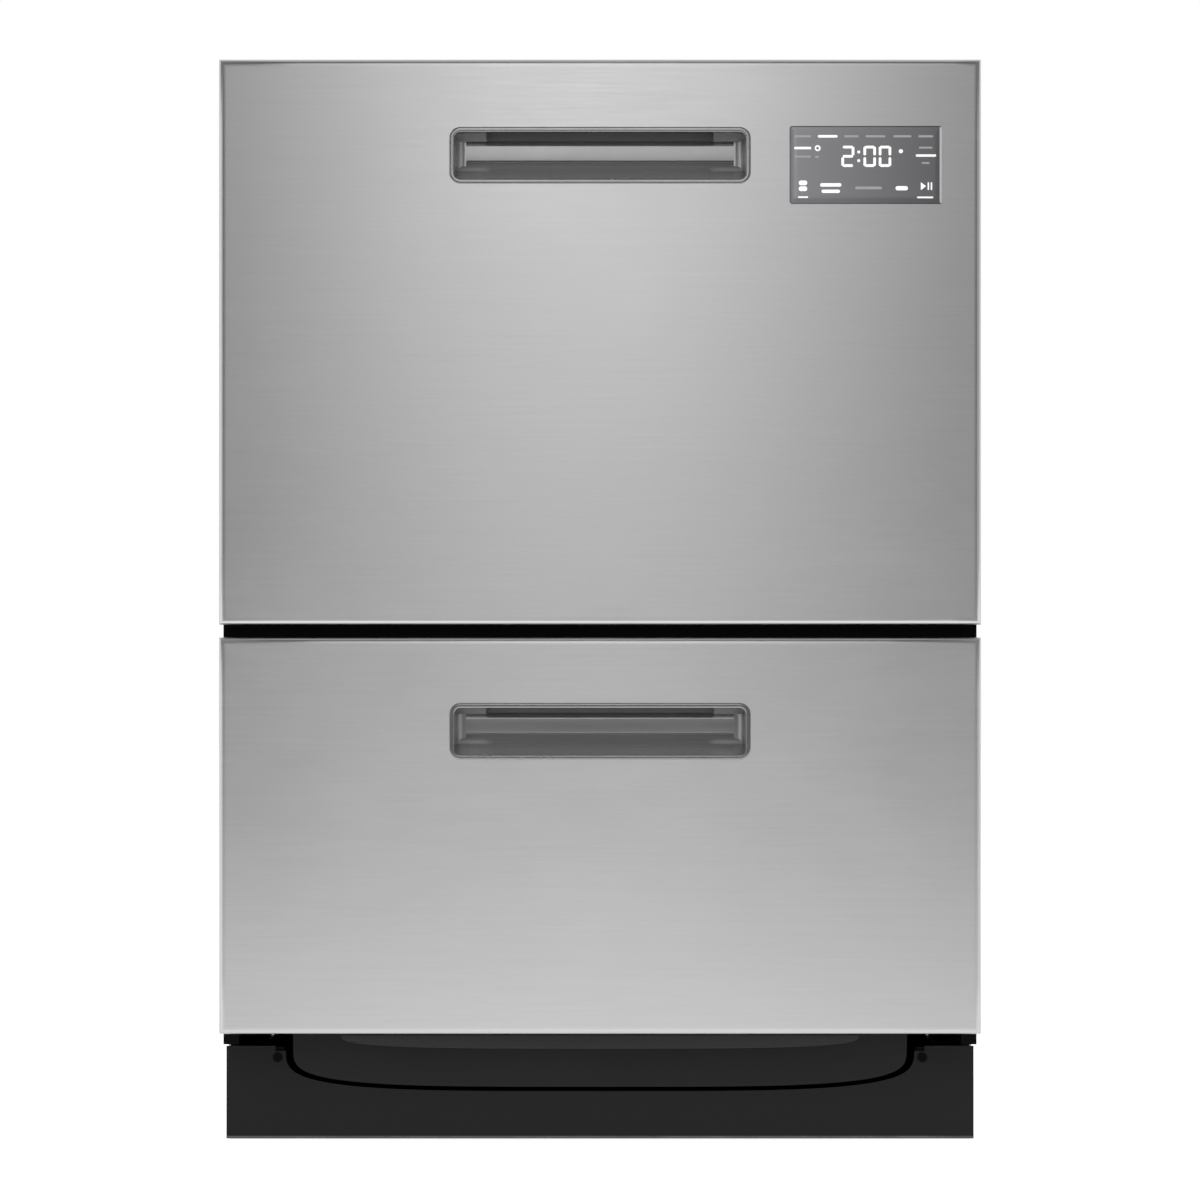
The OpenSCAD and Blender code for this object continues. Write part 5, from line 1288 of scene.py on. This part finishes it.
class DISHWASHER_OT_wash_system(bpy.types.Operator):
    """Make the spray arms and the coves of the tubs"""

    bl_idname = "dishwasher.wash_system"
    bl_label = "Wash System"
    bl_options = {"REGISTER", "UNDO"}

    def execute(self, context):
        for s in DRAWERS:
            make_piece(f"{s}_tub_cove", [tub_cove(s, context.scene.dishwasher_sizes)], finish("tub_plastic"),
                       f"{s}_drawer", sharp=60.0)
            make_piece(f"{s}_arm", spray_arm(s), finish("spray_plastic"), f"{s}_spray_arm",
                       [f"{s}_spray_arm"], sharp=40.0)
        return {"FINISHED"}


class DISHWASHER_OT_hoses(bpy.types.Operator):
    """Make the ribbed hoses that link the drawers to their drain pipes"""

    bl_idname = "dishwasher.hoses"
    bl_label = "Link Hoses"
    bl_options = {"REGISTER", "UNDO"}

    def execute(self, context):
        for s in DRAWERS:
            patches, path = hose_patches(s, context.scene.dishwasher_sizes)
            hose = make_piece(f"{s}_ribbed_hose", patches, finish("hose_rubber"), None,
                              [f"{s}_link_hose"], sharp=80.0)
            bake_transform(hose)
        return {"FINISHED"}


class DISHWASHER_OT_fasteners(bpy.types.Operator):
    """Make the screws that hold the cabinet's sheets"""

    bl_idname = "dishwasher.fasteners"
    bl_label = "Fasteners"
    bl_options = {"REGISTER", "UNDO"}

    def execute(self, context):
        heads = [screw(centre, axis) for centre, axis in screw_places()]
        make_piece("cabinet_screws", heads, finish("zinc"), "root", sharp=40.0)
        return {"FINISHED"}


# ---------- stage, in metres ----------

SENSOR = 36.0
FLOOR_REACH = 9.0
FLOOR_Z = -0.0005
ROOM_HALF = 6.0
ROOM_FRONT = -5.2
ROOM_TOP = 3.4
SIDE_BACK = -0.5


def stage_plane(name, points, material):
    """A flat piece of the studio, through four corners in metres."""
    mesh = bpy.data.meshes.new(name)
    mesh.from_pydata(points, [], [(0, 1, 2, 3)])
    made = bpy.data.objects.new(name, mesh)
    bpy.context.scene.collection.objects.link(made)
    mesh.materials.append(material)
    return made


def mirror_plane(name, points, material):
    """A flat piece of the studio that only metal shows."""
    made = stage_plane(name, points, material)
    made.visible_camera = made.visible_diffuse = made.visible_shadow = made.visible_transmission = False


def floor_material(pool):
    """White floor with the object's shadow, clear from below. In metal it is bright near the doors, a little
    darker right under them, and grey further off."""
    r = Recipe("studio_floor", bare=True)
    y = r.axes()["Y"]
    diffuse = r.node("BsdfDiffuse", Color=(0.82, 0.82, 0.82, 1)).outputs[0]
    both = r.node("AddShader")
    r.link(diffuse, both.inputs[0])
    r.link(r.glow(0.62), both.inputs[1])
    mirrored = r.glow(r.math("MULTIPLY", r.fade(y, -2.7, -0.7, 0.12, pool), r.fade(y, -0.60, -0.40, 1.0, 0.75)))
    path = r.node("LightPath").outputs
    seen = r.either(path["Is Camera Ray"], diffuse, both.outputs[0])
    above = r.either(path["Is Glossy Ray"], seen, mirrored)
    clear = r.node("BsdfTransparent").outputs[0]
    return r.close(r.either(r.node("NewGeometry").outputs["Backfacing"], above, clear))


STRIP_X = -0.03
STRIP_WIDTH = 0.5
STRIP_LOW = 0.0
GREY_LOW = 0.35
WALL_ENDS = 0.6


def wall_material(grey, strip):
    """The wall that the doors mirror: grey, with a soft bright strip up its middle, whose light falls off as
    a bell curve across X. Towards the floor both grow darker in a smooth step. The wall's ends are brighter,
    in a smooth step too."""
    r = Recipe("studio_wall", bare=True)
    place = r.axes()
    across = r.math("MULTIPLY", r.math("SUBTRACT", place["X"], STRIP_X), 1 / STRIP_WIDTH)
    bell = r.math("POWER", math.e, r.math("MULTIPLY", r.math("MULTIPLY", across, across), -1.0))
    strip_light = r.math("MULTIPLY", r.math("MULTIPLY", bell, strip), r.fade(place["Z"], 0.4, 1.2, STRIP_LOW, 1.0))
    grey_light = r.math("MULTIPLY", r.fade(place["Z"], 0.2, 1.2, GREY_LOW, 1.0), grey)
    ends = r.fade(r.math("ABSOLUTE", place["X"], 0.0), 1.5, 4.0, 0.0, WALL_ENDS)
    return r.close(r.glow(r.math("ADD", r.math("ADD", strip_light, grey_light), ends)))


def glow_material(name, strength):
    """A plain even glow."""
    r = Recipe(name, bare=True)
    return r.close(r.glow(strength))


def ceiling_material(grey):
    """The ceiling that metal mirrors: dark in front of the doors, and bright behind them."""
    r = Recipe("studio_ceiling", bare=True)
    return r.close(r.glow(r.fade(r.axes()["Y"], -2.0, -0.5, grey, 0.85)))


def world_light(fill):
    """White where it is seen or mirrored, and a plain even light otherwise."""
    world = bpy.data.worlds.new("studio_light")
    world.use_nodes = True
    nodes, links = world.node_tree.nodes, world.node_tree.links
    back = nodes["Background"]
    back.inputs["Color"].default_value = (1, 1, 1, 1)
    path = nodes.new("ShaderNodeLightPath")
    seen = nodes.new("ShaderNodeMath")
    seen.operation = "MAXIMUM"
    any_ray = nodes.new("ShaderNodeMath")
    any_ray.operation = "MAXIMUM"
    strength = nodes.new("ShaderNodeMapRange")
    strength.inputs["To Min"].default_value = fill
    strength.inputs["To Max"].default_value = 1.0
    links.new(path.outputs["Is Camera Ray"], seen.inputs[0])
    links.new(path.outputs["Is Glossy Ray"], seen.inputs[1])
    links.new(seen.outputs[0], any_ray.inputs[0])
    links.new(path.outputs["Is Transmission Ray"], any_ray.inputs[1])
    links.new(any_ray.outputs[0], strength.inputs["Value"])
    links.new(strength.outputs["Result"], back.inputs["Strength"])
    bpy.context.scene.world = world


def soft_light(name, place, aim, size, power):
    """A rectangular soft light at a place, turned to a point."""
    data = bpy.data.lights.new(name, "AREA")
    data.shape = "RECTANGLE"
    data.size, data.size_y = size
    data.energy = power
    lamp = bpy.data.objects.new(name, data)
    bpy.context.scene.collection.objects.link(lamp)
    lamp.location = place
    direction = np.array(aim, float) - np.array(place, float)
    lamp.rotation_euler = Vector(direction).to_track_quat("-Z", "Y").to_euler()
    lamp.visible_camera = False
    lamp.visible_glossy = False


class DISHWASHER_OT_stage(bpy.types.Operator):
    """Set up the camera, the lights, the floor and the studio wall"""

    bl_idname = "dishwasher.stage"
    bl_label = "Studio"
    bl_options = {"REGISTER", "UNDO"}

    def execute(self, context):
        scene = context.scene
        stage = scene.dishwasher_stage
        scene.view_settings.view_transform = "Standard"
        data = bpy.data.cameras.new("camera")
        data.sensor_width = SENSOR
        data.lens = SENSOR * stage.distance / stage.width_seen
        data.clip_end = 60.0
        camera = bpy.data.objects.new("camera", data)
        scene.collection.objects.link(camera)
        camera.location = (0.0, FACE_Y * MM - stage.distance, stage.height)
        camera.rotation_euler = (math.radians(90), 0.0, 0.0)
        scene.camera = camera
        world_light(stage.fill)
        corners = ((-1, -1), (1, -1), (1, 1), (-1, 1))
        stage_plane("studio_floor", [(x * FLOOR_REACH, y * FLOOR_REACH, FLOOR_Z) for x, y in corners],
                    floor_material(stage.pool))
        x, y, z = ROOM_HALF, ROOM_FRONT, ROOM_TOP
        mirror_plane("studio_wall", [(-x, y, 0.0), (x, y, 0.0), (x, y, z), (-x, y, z)],
                     wall_material(stage.wall, stage.strip))
        for name, side, grey in (("studio_flag", x, stage.flag), ("studio_panel", -x, stage.side)):
            points = [(side, y, 0.0), (side, SIDE_BACK, 0.0), (side, SIDE_BACK, z), (side, y, z)]
            mirror_plane(name, points, glow_material(name, grey))
        mirror_plane("studio_ceiling", [(-x, y, z), (x, y, z), (x, FLOOR_REACH, z), (-x, FLOOR_REACH, z)],
                     ceiling_material(stage.ceiling))
        soft_light("key_light", (-0.9, -3.0, 2.6), (0.0, 0.0, 0.4), (2.2, 1.4), stage.key)
        soft_light("side_light", (2.6, -1.6, 1.5), (0.0, 0.0, 0.4), (1.2, 1.8), stage.key * 0.45)
        soft_light("back_light", (-1.6, 2.6, 1.9), (0.0, 0.0, 0.5), (1.6, 1.2), stage.key * 0.5)
        return {"FINISHED"}


class DISHWASHER_PT_sidebar(bpy.types.Panel):
    """The dishwasher's tools"""

    bl_label = "Dishwasher"
    bl_idname = "DISHWASHER_PT_sidebar"
    bl_space_type = "VIEW_3D"
    bl_region_type = "UI"
    bl_category = "Dishwasher"

    def draw(self, context):
        """A button for each operator, and every value that can be changed."""
        for operator in OPERATORS:
            self.layout.operator(operator.bl_idname)
        for group in ("dishwasher_sizes", "dishwasher_colours", "dishwasher_stage"):
            box = self.layout.box()
            values = getattr(context.scene, group)
            for key in values.__annotations__:
                box.prop(values, key)


OPERATORS = (
    DISHWASHER_OT_stage, DISHWASHER_OT_finishes, DISHWASHER_OT_door_skins, DISHWASHER_OT_handles,
    DISHWASHER_OT_display, DISHWASHER_OT_racks, DISHWASHER_OT_wash_system, DISHWASHER_OT_hoses,
    DISHWASHER_OT_fasteners,
)
GROUPS = {
    "dishwasher_sizes": DishwasherSizes,
    "dishwasher_colours": DishwasherColours,
    "dishwasher_stage": DishwasherStage,
}


def register():
    """Adds the groups of values, the operators and the panel."""
    for name, group in GROUPS.items():
        bpy.utils.register_class(group)
        setattr(bpy.types.Scene, name, PointerProperty(type=group))
    for kind in (*OPERATORS, DISHWASHER_PT_sidebar):
        bpy.utils.register_class(kind)


def unregister():
    """Takes them away again."""
    for kind in (DISHWASHER_PT_sidebar, *reversed(OPERATORS)):
        bpy.utils.unregister_class(kind)
    for name, group in reversed(GROUPS.items()):
        delattr(bpy.types.Scene, name)
        bpy.utils.unregister_class(group)


def main():
    """Registers the add-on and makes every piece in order."""
    register()
    bpy.ops.dishwasher.stage()
    bpy.ops.dishwasher.finishes()
    bpy.ops.dishwasher.door_skins()
    bpy.ops.dishwasher.handles()
    bpy.ops.dishwasher.display()
    bpy.ops.dishwasher.racks()
    bpy.ops.dishwasher.wash_system()
    bpy.ops.dishwasher.hoses()
    bpy.ops.dishwasher.fasteners()


if __name__ == "__main__":
    main()
